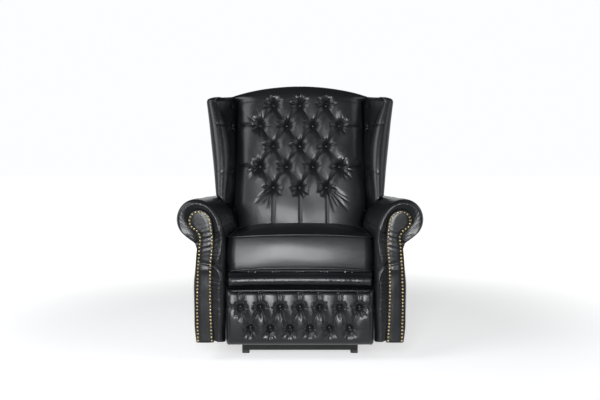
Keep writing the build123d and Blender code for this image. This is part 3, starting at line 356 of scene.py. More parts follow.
def normals_of(points, ring=False):
    """Unit normals of a grid: across the rows turned into down the columns."""
    if ring:
        wrapped = np.concatenate([points[:, -1:], points, points[:, :1]], axis=1)
        across = wrapped[:, 2:] - wrapped[:, :-2]
    else:
        across = np.gradient(points, axis=1)
    down = np.gradient(points, axis=0)
    normal = np.cross(across, down)
    length = np.linalg.norm(normal, axis=-1, keepdims=True)
    return normal / np.maximum(length, 1e-12)


def smooth_step(value, low, high):
    share = np.clip((value - low) / (high - low), 0, 1)
    return share * share * (3 - 2 * share)


def smooth_noise(u, w, scale, seed, octaves=3):
    """Soft noise on a plane: a sum of sine waves in seeded directions, about -1 to 1."""
    random = np.random.default_rng(seed)
    total = np.zeros(np.broadcast(u, w).shape)
    for octave in range(octaves):
        for _ in range(4):
            angle, phase = random.uniform(0, 2 * math.pi, 2)
            rate = 2 * math.pi / scale * 1.9**octave * random.uniform(0.7, 1.3)
            wave = np.sin(rate * (u * math.cos(angle) + w * math.sin(angle)) + phase)
            total += wave * 0.55**octave / 2.6
    return total


# %% [markdown]
# ## Materials
#
# Each finish is a Principled shader with a few textures on it.  All of them read object
# coordinates, so the grain stays on the piece when the chair moves.  A small class keeps the
# wiring out of sight: it adds noise, cells or waves, colours them, and stacks them as bumps.

# %% A short way to write a finish


class Shader:
    """A Principled material with a few short ways to add nodes."""

    def __init__(self, name, color, roughness, metallic=0.0):
        self.material = bpy.data.materials.new(name)
        self.material.use_nodes = True
        self.tree = self.material.node_tree
        self.shader = self.tree.nodes["Principled BSDF"]
        self.set("Base Color", (*color, 1))
        self.set("Roughness", roughness)
        self.set("Metallic", metallic)
        self.place = add_node(self.tree, "ShaderNodeTexCoord").outputs["Object"]

    def set(self, name, value):
        self.shader.inputs[name].default_value = value

    def wire(self, value, name):
        self.tree.links.new(value, self.shader.inputs[name])

    def stretched(self, scale):
        mapping = add_node(self.tree, "ShaderNodeMapping")
        mapping.inputs["Scale"].default_value = scale
        self.tree.links.new(self.place, mapping.inputs["Vector"])
        return mapping.outputs["Vector"]

    def texture(self, kind, output, vector, **values):
        node = add_node(self.tree, kind)
        for name, value in values.items():
            node.inputs[name].default_value = value
        self.tree.links.new(vector or self.place, node.inputs["Vector"])
        return node.outputs[output]

    def noise(self, scale, detail=3.0, vector=None, distortion=0.0):
        values = {"Scale": scale, "Detail": detail, "Distortion": distortion}
        return self.texture("ShaderNodeTexNoise", "Fac", vector, **values)

    def cells(self, scale):
        return self.texture("ShaderNodeTexVoronoi", "Distance", None, Scale=scale)

    def wave(self, scale, vector=None, distortion=0.0, direction="X"):
        values = {"Scale": scale, "Distortion": distortion}
        bands = self.texture("ShaderNodeTexWave", "Fac", vector, **values)
        bands.node.bands_direction = direction
        return bands

    def range(self, value, low, high):
        return map_value(self.tree, value, (0.0, 1.0), low, high, "LINEAR")

    def combine(self, first, second, operation="ADD"):
        return math_of(self.tree, operation, first, second)

    def colors(self, factor, stops):
        """A colour ramp; stops are (position, (r, g, b))."""
        node = add_node(self.tree, "ShaderNodeValToRGB")
        ramp = node.color_ramp
        while len(ramp.elements) < len(stops):
            ramp.elements.new(0.5)
        for element, (position, color) in zip(ramp.elements, stops):
            element.position = position
            element.color = (*color, 1)
        self.tree.links.new(factor, node.inputs["Fac"])
        self.wire(node.outputs["Color"], "Base Color")

    def rough(self, value):
        self.wire(value, "Roughness")

    def bumps(self, *layers):
        """Bump nodes in a chain; each layer is (height, distance, strength)."""
        normal = None
        for height, distance, strength in layers:
            node = add_node(self.tree, "ShaderNodeBump")
            node.inputs["Distance"].default_value = distance
            node.inputs["Strength"].default_value = strength
            self.tree.links.new(height, node.inputs["Height"])
            if normal is not None:
                self.tree.links.new(normal, node.inputs["Normal"])
            normal = node.outputs["Normal"]
        self.wire(normal, "Normal")


# %% [markdown]
# ### Leather
#
# The leather is near black, so its life is in its gloss: a roughness that changes a little over
# the hide, a fine grain of small cells with pores, and faint creases at a larger scale.  A scanned
# picture could give the grain; nodes give it at any distance and need no unwrapping.  Three
# qualities are cut: for the pads, for the tightly drawn covers, and a softer one for the facings.

# %% Leather
HIDE_DARK = (0.0050, 0.0053, 0.0062)
HIDE_PALE = (0.0105, 0.011, 0.013)
GRAIN_SIZE = 620.0
PORE_SIZE = 900.0


def make_leather(name, shade=1.0, gloss=0.33, creases=0.05):
    """Finished hide: grain of small cells, faint creases and a slightly uneven gloss."""
    low = tuple(shade * value for value in HIDE_DARK)
    high = tuple(shade * value for value in HIDE_PALE)
    make = Shader(name, low, gloss)
    cloud = make.noise(5.0, 4.0)
    make.colors(cloud, [(0.3, low), (0.72, high)])
    mottle = make.noise(38.0, 4.0)
    uneven = make.combine(make.range(cloud, -0.05, 0.06), make.range(mottle, -0.05, 0.06))
    make.rough(make.combine(uneven, gloss))
    grain = make.cells(GRAIN_SIZE)
    pores = make.noise(PORE_SIZE, 2.0)
    folds = make.noise(26.0, 5.0, distortion=1.4)
    make.bumps((folds, 0.0022, creases), (grain, 0.00022, 0.5), (pores, 0.0001, 0.35))
    make.set("Specular IOR Level", 0.31)
    make.set("Coat Weight", 0.12)
    make.set("Coat Roughness", 0.16)
    return make.material


leather = make_leather("black_leather")
tight_leather = make_leather("tight_leather", gloss=0.31, creases=0.04)
soft_leather = make_leather("soft_leather", shade=1.1, gloss=0.35, creases=0.14)
print("leather nodes", len(leather.node_tree.nodes))

# %% [markdown]
# ### Metals
#
# The nails are brass that has darkened in its hollows.  The base is powder coated black, which
# leaves a skin like orange peel.  The moving strips are zinc plated: drawn streaks along them and
# a cloudy bloom.  Pins are brighter, and the spring wire is darker.

# %% Metals
BRASS_HOLLOW = (0.16, 0.115, 0.05)
BRASS_CROWN = (0.50, 0.40, 0.20)


def make_brass():
    """Old brass: warm, darker in the hollows, with a fine speckle."""
    make = Shader("old_brass", (0.6, 0.43, 0.18), 0.32, 1.0)
    tarnish = make.noise(260.0, 4.0)
    make.colors(tarnish, [(0.32, BRASS_HOLLOW), (0.62, BRASS_CROWN)])
    make.rough(make.range(tarnish, 0.42, 0.22))
    make.bumps((make.noise(1500.0, 2.0), 0.0001, 0.3))
    return make.material


def make_painted_steel():
    """Black powder coat with its fine orange-peel texture."""
    make = Shader("black_powder_coat", (0.006, 0.006, 0.0065), 0.5)
    make.set("Specular IOR Level", 0.3)
    speckle = make.noise(420.0, 3.0)
    shades = [(0.3, (0.005, 0.005, 0.0055)), (0.75, (0.010, 0.010, 0.0105))]
    make.colors(make.noise(12.0, 3.0), shades)
    make.rough(make.range(speckle, 0.44, 0.58))
    make.bumps((speckle, 0.0003, 0.35))
    return make.material


def make_plated_steel(name, color, stretch=(14.0, 1.0, 1.0)):
    """Zinc-plated strip with drawn streaks and a cloudy passivated bloom."""
    make = Shader(name, color, 0.38, 1.0)
    streaks = make.noise(90.0, 4.0, make.stretched(stretch))
    bloom = make.noise(24.0, 4.0)
    dark = tuple(0.72 * value for value in color)
    make.colors(bloom, [(0.3, dark), (0.7, color)])
    make.rough(make.range(streaks, 0.28, 0.5))
    make.bumps((streaks, 0.00012, 0.4))
    return make.material


brass = make_brass()
painted_steel = make_painted_steel()
plated_steel = make_plated_steel("zinc_strip", (0.42, 0.43, 0.45))
pin_steel = make_plated_steel("bright_pins", (0.6, 0.6, 0.6), (1.0, 1.0, 1.0))
spring_steel = make_plated_steel("spring_wire", (0.24, 0.24, 0.26), (1.0, 6.0, 1.0))
print("metals", [metal.name for metal in (brass, painted_steel, plated_steel, pin_steel)])

# %% [markdown]
# ### Timber, cloth, foam and plastic
#
# What the leather hides still has its true finish, because it shows from below and when the chair
# opens.  Timber is a wave texture, bent by distortion into growth lines.  Cloth is two waves that
# cross.  Foam is a cell texture, and the feet are plastic with the fine texture of its mould.

# %% Timber, cloth, foam and plastic
ALONG_Y = (7.0, 0.8, 7.0)


def make_wood(name, pale, dark, stretch):
    """Sawn timber: growth lines along the grain, with darker pores."""
    make = Shader(name, pale, 0.7)
    vector = make.stretched(stretch)
    lines = make.combine(make.wave(5.0, vector, distortion=7.0), 0.6, "MULTIPLY")
    fibre = make.noise(60.0, 5.0, vector)
    mixed = make.combine(lines, make.combine(fibre, 0.5, "MULTIPLY"))
    make.colors(mixed, [(0.15, dark), (0.75, pale)])
    make.bumps((fibre, 0.0006, 0.4))
    return make.material


def make_cloth(name, color, threads=900.0):
    """Plain weave: two crossed sets of threads."""
    make = Shader(name, color, 0.85)
    across = make.wave(threads / 6.3, direction="X")
    along = make.wave(threads / 6.3, direction="Y")
    weave = make.combine(across, along, "MULTIPLY")
    dark = tuple(0.55 * value for value in color)
    make.colors(weave, [(0.1, dark), (0.7, color)])
    make.bumps((weave, 0.0005, 0.6), (make.noise(150.0, 3.0), 0.0004, 0.3))
    make.set("Sheen Weight", 0.15)
    return make.material


def make_foam():
    """Open-cell foam."""
    make = Shader("seat_foam", (0.72, 0.66, 0.48), 0.9)
    cells = make.cells(420.0)
    make.colors(cells, [(0.1, (0.5, 0.44, 0.3)), (0.6, (0.78, 0.72, 0.55))])
    make.bumps((cells, 0.0012, 0.7))
    return make.material


def make_plastic():
    """Black moulded plastic with a spark-eroded texture."""
    make = Shader("glide_plastic", (0.015, 0.015, 0.016), 0.55)
    texture = make.noise(700.0, 3.0)
    shades = [(0.3, (0.012, 0.012, 0.012)), (0.7, (0.022, 0.022, 0.023))]
    make.colors(make.noise(30.0, 2.0), shades)
    make.rough(make.range(texture, 0.45, 0.65))
    make.bumps((texture, 0.0003, 0.4))
    return make.material


timber = make_wood("sawn_beech", (0.6, 0.42, 0.25), (0.38, 0.24, 0.13), ALONG_Y)
# Near black: partly the stain a maker gives such rails, partly painted shade for the dark gap.
stain_and_shade_timber = make_wood("stain_and_shade_beech", (0.030, 0.024, 0.020), (0.014, 0.011, 0.009), ALONG_Y)
plywood = make_wood("plywood", (0.66, 0.5, 0.32), (0.5, 0.35, 0.2), (6.0, 6.0, 1.0))
deck_cloth = make_cloth("deck_cloth", (0.03, 0.03, 0.032))
webbing = make_cloth("elastic_webbing", (0.09, 0.085, 0.08), 600.0)
foam = make_foam()
plastic = make_plastic()
print("materials", len(bpy.data.materials))

# %% [markdown]
# ## Tufting
#
# A button pulls the leather deep into the padding, and the slack between two neighbouring buttons
# falls into a pleat.  A cloth simulation could find these folds, but the regular diamonds and the
# sharp pleats come out surer by rule.  So the padded face is a smooth surface from which depths are
# taken away: a funnel at each button, a valley along each pleat that is deepest at its ends, and
# shallow short puckers that run out from each button.  The depths are joined by a soft maximum, so
# where a pleat meets a funnel nothing is counted twice.

# %% Pleats and funnels
PLEAT_SOFT = 0.0008
STAR = (0.09, 0.06)
PIT_WIDTH = 0.0100
PIT_SHARE = 0.28


def distance_to_run(u, w, start, end):
    """For each point: distance to the run, share along it, and the side it lies on."""
    run = np.array(end) - np.array(start)
    length = float(np.hypot(*run))
    du, dw = u - start[0], w - start[1]
    share = np.clip((du * run[0] + dw * run[1]) / length**2, 0, 1)
    across = (du * run[1] - dw * run[0]) / length
    away = np.hypot(du - share * run[0], dw - share * run[1])
    return away, share, across


def pleat(u, w, start, end, depth, middle=0.5, width=0.0085, taper=False):
    """Depth of a valley between two buttons, or one that dies out towards its end."""
    away, share, across = distance_to_run(u, w, start, end)
    width = np.where(across > 0, width * 0.72, width * 1.2)
    if taper:
        along = (1 - share) ** 1.1 * np.minimum(1, 0.35 + share * 9)
    else:
        along = middle + (1 - middle) * np.abs(2 * share - 1) ** 2.2
    soft = np.sqrt(away**2 + PLEAT_SOFT**2)
    wide = np.exp(-((away / (width * 2.9)) ** 2))
    return depth * along * (0.5 * np.exp(-soft / (0.5 * width)) + 0.5 * wide)


def funnel(u, w, place, depth, reach, sag=1.0):
    """Depth of the dish round a button: a star-shaped cone, longer below, with a pit."""
    rise = w - place[1]
    side = u - place[0]
    turn = np.arctan2(rise, side)
    first, second = 90 * place[0] + 40 * place[1], 50 * place[0] + 70 * place[1]
    star = 1 + STAR[0] * np.sin(8 * turn + first) + STAR[1] * np.sin(13 * turn + second)
    away = np.hypot(side, np.where(rise < 0, rise / sag, rise)) / star
    cone = np.clip(1 - away / reach, 0, 1) ** 1.7
    pit = np.exp(-((away / PIT_WIDTH) ** 2))
    return depth * ((1 - PIT_SHARE) * cone + PIT_SHARE * pit)


def soft_maximum(depths, sharpness=3.2):
    total = sum(np.maximum(depth, 0) ** sharpness for depth in depths)
    return total ** (1 / sharpness)


# %% [markdown]
# ### Puckers
#
# Round a tight button the leather also gathers into fine short folds of uneven length.  They are
# drawn with a seeded random generator: the same seed gives the same fan each time.

# %% Puckers
PUCKER_START = 0.008


def fan(place, first, last, count, length, seed):
    """Short runs that leave a button between two directions, in degrees, with uneven lengths."""
    random = np.random.default_rng(seed)
    runs = []
    for index in range(count):
        share = (index + 0.5) / count
        angle = math.radians(first + (last - first) * share + random.uniform(-5, 5))
        reach = length * random.uniform(0.6, 1.1)
        cosine, sine = math.cos(angle), math.sin(angle)
        start = (place[0] + PUCKER_START * cosine, place[1] + PUCKER_START * sine)
        end = (place[0] + reach * cosine, place[1] + reach * sine)
        runs.append((start, end))
    return runs


def puckers(u, w, fans):
    """The deepest of many short folds at each point; a fan is (runs, depth, width)."""
    total = np.zeros(np.broadcast(u, w).shape)
    for runs, depth, width in fans:
        for start, end in runs:
            total = np.maximum(total, pleat(u, w, start, end, depth, width=width, taper=True))
    return total


def button_rows(gap_counts, pitch, heights):
    """Places of buttons in rows; a row with n gaps has n + 1 buttons about the middle."""
    return [
        [((place - gaps / 2) * pitch, height) for place in range(gaps + 1)]
        for gaps, height in zip(gap_counts, heights)
    ]


def neighbours(rows, pitch):
    """Pairs of buttons in rows below each other that a pleat joins."""
    return [
        (a, b)
        for upper, lower in zip(rows, rows[1:])
        for a in upper
        for b in lower
        if abs(a[0] - b[0]) < 0.6 * pitch
    ]


# %% [markdown]
# ## The back
#
# Seventeen buttons stand in five rows of three and four.  Pleats join them into diamonds; three
# pleats run down to the seat, one up over the top, and four sideways to the wings.  The outer
# buttons have fans of puckers where the leather is drawn in from the plain border.  The back leans,
# so it gets a frame of its own: x across, v backwards from its face, w up its slope.

# %% The back's own frame
BACK_LEAN = math.radians(12)
BACK_FOOT_Y, BACK_FOOT_Z = 0.105, 0.480
BACK_BOTTOM = -0.125
BACK_TOP = 0.645
BACK_ARCH = 0.605
BACK_ARCH_HALF = 0.318
BACK_LOW_HALF = 0.2785
BACK_WIDE_HALF = 0.300
BACK_TOP_HALF = 0.286
BACK_WIDEN = (0.010, 0.095)
BUTTON_PITCH = 0.120
BUTTON_ROW_STEP = 0.096
BUTTON_TOP = 0.546
BUTTON_GAPS = (2, 3, 2, 3, 2)


def leaning(x, v, w):
    """Points of the back: x across, v backwards from its front surface, w up its slope."""
    y = BACK_FOOT_Y + v * math.cos(BACK_LEAN) + w * math.sin(BACK_LEAN)
    z = BACK_FOOT_Z + w * math.cos(BACK_LEAN) - v * math.sin(BACK_LEAN)
    return np.stack(np.broadcast_arrays(x, y, z), axis=-1)


def back_half(w):
    """Half the width of the back pad at a height."""
    low = smooth_step(w, *BACK_WIDEN)
    upper = np.interp(w, (BACK_WIDEN[1], BACK_ARCH), (BACK_WIDE_HALF, BACK_TOP_HALF))
    return BACK_LOW_HALF + low * (upper - BACK_LOW_HALF)


def arch(x):
    """Height of the arched top at x."""
    rise = BACK_TOP - BACK_ARCH
    radius = (BACK_TOP_HALF**2 + rise**2) / (2 * rise)
    return BACK_TOP - radius + np.sqrt(radius**2 - np.minimum(np.abs(x), BACK_ARCH_HALF) ** 2)


BUTTON_HEIGHTS = [BUTTON_TOP - index * BUTTON_ROW_STEP for index in range(len(BUTTON_GAPS))]
BACK_ROWS = button_rows(BUTTON_GAPS, BUTTON_PITCH, BUTTON_HEIGHTS)
BACK_BUTTONS = [place for row in BACK_ROWS for place in row]
print("back buttons", len(BACK_BUTTONS))

# %% [markdown]
# ### Where the back is drawn in
#
# Each kind of pleat has its depth, how much of it stays half way, and its width: the diamonds are
# broad and soft, the pleats that run down to the seat are narrow and even, as sewn ones are.

# %% Pleats and puckers of the back
TUFT_DEPTH = 0.031
BACK_FUNNEL = {"reach": 0.049, "sag": 1.1}
DIAMOND_PLEAT = {"depth": 0.022, "middle": 0.5, "width": 0.0068}
SIDE_PLEAT = {"depth": 0.015, "middle": 0.4, "width": 0.0045}
SEAT_PLEAT = {"depth": 0.010, "middle": 0.6, "width": 0.0022}
TOP_PLEAT = {"depth": 0.009, "middle": 0.3, "width": 0.0035}
BACK_PUCKER_WIDTH = 0.0031
BACK_PUCKER_GAIN = 1.6


def back_depths(x, w):
    """Funnels and pleats of the back, one array each."""
    depths = [funnel(x, w, place, TUFT_DEPTH, **BACK_FUNNEL) for place in BACK_BUTTONS]
    for a, b in neighbours(BACK_ROWS, BUTTON_PITCH):
        depths.append(pleat(x, w, a, b, **DIAMOND_PLEAT))
    for row in (BACK_ROWS[1], BACK_ROWS[3]):
        for place in (row[0], row[-1]):
            side = math.copysign(back_half(place[1]) - 0.012, place[0])
            depths.append(pleat(x, w, place, (side, place[1] + 0.004), **SIDE_PLEAT))
    for place in BACK_ROWS[-1]:
        depths.append(pleat(x, w, place, (place[0] * 1.02, BACK_BOTTOM), **SEAT_PLEAT))
    depths.append(pleat(x, w, BACK_ROWS[0][1], (0, BACK_TOP - 0.008), **TOP_PLEAT))
    return depths


def back_fans():
    """Fans of the back: above its top buttons, beside its outer ones, below its lowest ones."""
    top, second, _, fourth, low = BACK_ROWS
    fans = [
        (fan(top[0], 88, 138, 5, 0.058, 3), 0.0058),
        (fan(top[2], 42, 92, 5, 0.058, 4), 0.0058),
        (fan(top[1], 72, 108, 3, 0.046, 5), 0.0046),
    ]
    for places, first, last, length, seed in (
        (second, 25, 100, 0.078, 11), (fourth, -75, -12, 0.085, 21)
    ):
        fans.append((fan(places[-1], first, last, 6, length, seed), 0.0052))
        fans.append((fan(places[0], 180 - first, 180 - last, 6, length, seed + 1), 0.0052))
    fans.append((fan(low[0], 205, 255, 5, 0.14, 31), 0.0062))
    fans.append((fan(low[-1], -75, -25, 5, 0.14, 32), 0.0062))
    fans.append((fan(low[1], 228, 312, 5, 0.055, 33), 0.0042))
    for place in BACK_BUTTONS:
        seed = int(1000 * (place[0] + 1) + 100 * place[1])
        fans.append((fan(place, 0, 360, 13, 0.036, seed), 0.0016))
    return [(runs, BACK_PUCKER_GAIN * depth, BACK_PUCKER_WIDTH) for runs, depth in fans]


print("back pleats", len(neighbours(BACK_ROWS, BUTTON_PITCH)), "puckers in fans", len(back_fans()))

# %% [markdown]
# ### The padded face
#
# The face is a sheet of points that stands proud in the middle and rounds off to its sides, foot
# and arched top.  Depths and puckers are pushed into it, less so near the edge.  `closed_pad` then
# closes any such face with a side and a flat rear, so that it is a solid cushion.

# %% The padded face of the back
BACK_FACE = -0.026
BACK_EDGE = 0.020
BACK_SIDE_ROUND = 0.112
BACK_LOW_ROUND = 0.020
BACK_TOP_ROUND = 0.075
BACK_FOOT_ROUND = 0.05
BACK_SHOULDER = (0.562, 0.592)
BACK_PAD_REAR = 0.062
BACK_STEP = 0.0019


def rounded_drop(inside, width):
    """Quarter-round fall towards an edge: 0 away from it, 1 on it."""
    share = np.clip(1 - inside / width, 0, 1)
    return 1 - np.sqrt(np.maximum(1 - share**2.3, 0))


def make_inside_back():
    """The tufted face of the back, and its x and w."""
    columns = int(2 * BACK_WIDE_HALF / BACK_STEP)
    rows = int((BACK_TOP - BACK_BOTTOM) / BACK_STEP)
    s = np.linspace(-1, 1, columns)[None, :]
    t = np.linspace(0, 1, rows)[:, None]
    top = arch(s * BACK_ARCH_HALF)
    w = BACK_BOTTOM + t * (top - BACK_BOTTOM)
    half = back_half(w)
    half = half + (BACK_ARCH_HALF - BACK_TOP_HALF) * smooth_step(w, *BACK_SHOULDER)
    x = s * half
    turn = BACK_SIDE_ROUND + BACK_LOW_ROUND * (1 - smooth_step(w, 0.05, 0.24))
    side = rounded_drop(half - np.abs(x), turn)
    crown = rounded_drop(top - w, BACK_TOP_ROUND)
    foot = rounded_drop(w - BACK_BOTTOM, BACK_FOOT_ROUND)
    edge = 1 - (1 - side) * (1 - crown) * (1 - foot)
    depth = soft_maximum(back_depths(x, w))
    swell = 0.0010 * smooth_noise(x, w, 0.17, 7, octaves=1)
    v = BACK_FACE + edge * (BACK_EDGE - BACK_FACE) + (1 - edge) ** 0.6 * (depth + swell)
    v = v + puckers(x, w, back_fans()) * (1 - 0.8 * edge)
    return leaning(x, v, w), x, w


def closed_pad(name, face, border_points):
    """Closes a padded face with a side that runs back to border_points and a flat rear."""
    rows, columns = face.shape[:2]
    index = np.arange(rows * columns).reshape(rows, columns)
    loop = np.concatenate([index[0], index[1:, -1], index[-1, -2::-1], index[-2:0:-1, 0]])
    corners = face.reshape(-1, 3)
    count = len(loop)
    rear = border_points.reshape(-1, 3)[loop]
    front = corners[loop]
    steps = [front + (rear - front) * share for share in (0.12, 0.5, 0.88, 1.0)]
    rings = [loop] + [len(corners) + k * count + np.arange(count) for k in range(len(steps))]
    faces = grid_faces(rows, columns, False).tolist()
    for a, b in zip(rings, rings[1:]):
        following_a, following_b = np.roll(a, -1), np.roll(b, -1)
        faces += np.stack([a, b, following_b, following_a], axis=-1).tolist()
    all_corners = np.vstack([corners, *steps, rear.mean(axis=0)[None]])
    centre = len(all_corners) - 1
    last = rings[-1]
    faces += [(int(a), centre, int(b)) for a, b in zip(last, np.roll(last, -1))]
    mesh = bpy.data.meshes.new(name)
    mesh.from_pydata(all_corners.tolist(), [], [tuple(face) for face in faces])
    return outward(add_object(name, mesh))


back_face_points, back_x, back_w = make_inside_back()
back_rear = leaning(back_x, BACK_PAD_REAR, back_w)
inside_back = closed_pad("inside_back_leather", back_face_points, back_rear)
finish(inside_back, "back", leather, ["inside_back"])
print("inside back faces", len(inside_back.data.polygons))

# %% [markdown]
# ## The outside back
#
# Behind the pad stands a timber frame.  Its cover is one panel of plain leather that wraps round
# the sides and over the top, with a piped seam where the sides turn into the rear panel.  One
# outline, repeated at rows from front to rear and drawn in at both ends, gives the whole cover.

# %% The outside back
FRAME_HALF = 0.2738
COVER_REAR = 0.205
COVER_TOP_DROP = 0.003
COVER_FOOT_RISE = 0.004
COVER_CORNER = 0.012
COVER_SIDES = [(0.058, 0.006), (0.060, 0.0), (0.10, 0.0), (0.15, 0.0), (0.19, 0.0), (0.198, 0.001)]
REAR_BULGE = 0.022
REAR_SHARES = (0.04, 0.1, 0.2, 0.32, 0.46, 0.62, 0.8, 0.95)


def cover_outline(inset, count=90):
    """The upright outline in (x, w): two straight sides under the arch, as a closed loop."""
    half = FRAME_HALF - inset
    foot = BACK_BOTTOM + COVER_FOOT_RISE + inset
    xs = np.linspace(half, -half, count)
    corner = COVER_CORNER
    drop = corner * np.clip((np.abs(xs) - half + corner) / corner, 0, 1) ** 2
    top = arch(xs) - COVER_TOP_DROP - inset - drop
    side = np.linspace(foot, top[0], 50)[:-1]
    right = np.stack([np.full(49, half), side], axis=1)
    over = np.stack([xs, top], axis=1)
    left = np.stack([np.full(49, -half), side[::-1]], axis=1)
    bottom = np.stack([np.linspace(-half, half, 30)[1:-1], np.full(28, foot)], axis=1)
    return np.vstack([right, over, left, bottom])


def cover_loop(v, inset):
    """The outline, drawn in by an inset, at a distance v behind the back's face."""
    loop = cover_outline(inset)
    return leaning(loop[:, 0], np.full(len(loop), v), loop[:, 1])


def make_outside_back():
    turns = np.linspace(0.3, math.pi / 2, 5)
    rounded = [
        (COVER_REAR - 0.006 + 0.006 * math.sin(turn), 0.001 + 0.011 * (1 - math.cos(turn)))
        for turn in turns
    ]
    rear = [
        (COVER_REAR + REAR_BULGE * (1 - (1 - share) ** 2), 0.012 + 0.24 * share)
        for share in REAR_SHARES
    ]
    return np.stack([cover_loop(v, inset) for v, inset in COVER_SIDES + rounded + rear])


outside_back = ring_object("outside_back_leather", make_outside_back())
finish(outside_back, "back", tight_leather, ["outside_back"])
print("outside back faces", len(outside_back.data.polygons))

# %% [markdown]
# ## Round cords of leather
#
# Piping is a thin strip of leather folded over a cord and sewn into a seam.  A curve with a bevel
# could draw it; here each run is a tube swept along a line of points, because the same arrays that
# place the seams can place their piping.

# %% Piping
TUBE_SIDES = 10
BACK_PIPING_V = 0.199
BACK_PIPING_RADIUS = 0.0032


def tube(name, line, radius, closed=False):
    """A round tube along an array of points."""
    ahead = np.roll(line, -1, axis=0) - np.roll(line, 1, axis=0)
    if not closed:
        ahead[0], ahead[-1] = line[1] - line[0], line[-1] - line[-2]
    ahead /= np.linalg.norm(ahead, axis=1, keepdims=True)
    up = np.array([0.0, 0.0, 1.0])
    if np.abs(ahead @ up).max() > 0.95:
        up = np.array([0.0, 1.0, 0.0])
    side = np.cross(ahead, up)
    side /= np.linalg.norm(side, axis=1, keepdims=True)
    top = np.cross(side, ahead)
    turn = np.linspace(0, 2 * math.pi, TUBE_SIDES, endpoint=False)
    ring = line[:, None] + radius * (
        np.cos(turn)[None, :, None] * side[:, None] + np.sin(turn)[None, :, None] * top[:, None]
    )
    if closed:
        ring = np.concatenate([ring, ring[:1]])
    return ring_object(name, ring, capped=not closed)


def joined(name, pieces):
    """One mesh object out of several."""
    work = bmesh.new()
    for piece in pieces:
        work.from_mesh(piece.data)
        bpy.data.objects.remove(piece)
    mesh = bpy.data.meshes.new(name)
    work.to_mesh(mesh)
    work.free()
    mesh.shade_smooth()
    return add_object(name, mesh)


piping_line = cover_loop(BACK_PIPING_V, 0.0)
back_piping = tube("outside_back_piping", piping_line, BACK_PIPING_RADIUS, closed=True)
finish(back_piping, "back", tight_leather)
print("back piping", round(np.linalg.norm(np.diff(piping_line, axis=0), axis=1).sum(), 2), "m")

# %% [markdown]
# ## The wings
#
# Each wing is a board padded on both faces.  Its front edge is a fat roll that swells inwards half
# way up; the inner face has two buttons, and from each a pleat runs forwards over the roll.  The
# section is a closed ring in plan, repeated at every height, and rounded at the foot and the top.
# The wing stands on the arm, so the arm's upper line is worked out here too.

# %% The wings' plan
WING_FOOT_Z = 0.600
WING_TOP_Z = 1.057
WING_FRONT_TOP_Z = 1.041
WING_REAR_TOP_Z = 1.045
WING_OUTER = ((0.040, 0.610), (0.359, 0.4250))
WING_CORNER = 0.028
WING_NOSE_V = -0.121
WING_WRAP_V = -0.055
WING_REAR_V = 0.195
WING_TOE_IN = 0.025
WING_ARM_GAP = 0.002
WING_SIDE_GAP = 0.0015
WING_INNER_LOW_W = 0.070
PAD_REAR_V = 0.063

ARM_INNER_X = 0.281
ARM_FALL = 0.014
ARM_CURL_Z = 0.457
SCROLL = (0.3875, 0.5375)
SCROLL_RADIUS = 0.0752
curl_side = SCROLL[0] - ARM_INNER_X
curl_rise = SCROLL[1] - ARM_CURL_Z
curl_radius = (curl_side**2 + curl_rise**2 - SCROLL_RADIUS**2) / (2 * (curl_side - SCROLL_RADIUS))
curl_x = ARM_INNER_X + curl_radius
curl_end = math.atan2(curl_rise, SCROLL[0] - curl_x)


def up_slope(v, z):
    """w of a point of the back from its v and its height."""
    return (z - BACK_FOOT_Z + v * math.sin(BACK_LEAN)) / math.cos(BACK_LEAN)


def above_arm(x, gap):
    """Height of the arm's upper side at x, and a gap above it."""
    curl = np.sqrt(np.maximum((curl_radius + gap) ** 2 - (curl_x - x) ** 2, 0))
    scroll = np.sqrt(np.maximum((SCROLL_RADIUS + gap) ** 2 - (x - SCROLL[0]) ** 2, 0))
    bend_x = SCROLL[0] + (SCROLL_RADIUS + gap) * math.cos(curl_end)
    return np.where(x < bend_x, ARM_CURL_Z + curl, SCROLL[1] + scroll) - 0.9 * ARM_FALL


def wing_top(v):
    """Height of the wing's top: nearly level in front, and lower behind the pad."""
    places = (WING_NOSE_V, 0.0, PAD_REAR_V, WING_REAR_V)
    return np.interp(v, places, (WING_FRONT_TOP_Z, WING_TOP_Z, WING_TOP_Z, WING_REAR_TOP_Z))


def wing_roll(z):
    """Half the thickness of the front roll at a height."""
    share = (z - WING_FOOT_Z) / (WING_TOP_Z - WING_FOOT_Z)
    return 0.023 + 0.018 * np.sin(math.pi * np.clip(share, 0, 1)) ** 1.3


def wing_outer(v, z):
    """x of the outer face, turned in towards the rear and rounded at the upper corner."""
    plain = np.interp(up_slope(v, z), *WING_OUTER)
    toe = WING_TOE_IN * np.clip(v - WING_WRAP_V, 0, None) / (WING_REAR_V - WING_WRAP_V)
    above = np.clip(z - (WING_TOP_Z - WING_CORNER), 0, WING_CORNER)
    return plain - toe - WING_CORNER + np.sqrt(WING_CORNER**2 - above**2)


def wing_inner(v, z):
    """x of the inner face where it meets the side of the back pad."""
    w = up_slope(v, z)
    return back_half(np.maximum(w, WING_INNER_LOW_W)) + WING_SIDE_GAP


print("arm curl radius", round(curl_radius, 3), "wing tops", WING_FRONT_TOP_Z, WING_TOP_Z)

# %% [markdown]
# ### The wings' section
#
# Seen from above, the ring runs along the inner face, round the front roll, back along the outer
# face, across the rear and home along the frame.  The outer face sinks a little where the outer
# panel will lie on it.

# %% The wings' section
WING_STEP = 0.0023
WING_ROUND = 0.014
NOSE_FULLNESS = 0.95
INNER_SWELL = 0.010
PANEL_SINK = 0.004
INNER_RUN, NOSE_RUN, OUTER_RUN = 0.175, 0.12, 0.28
REAR_POINTS = 11


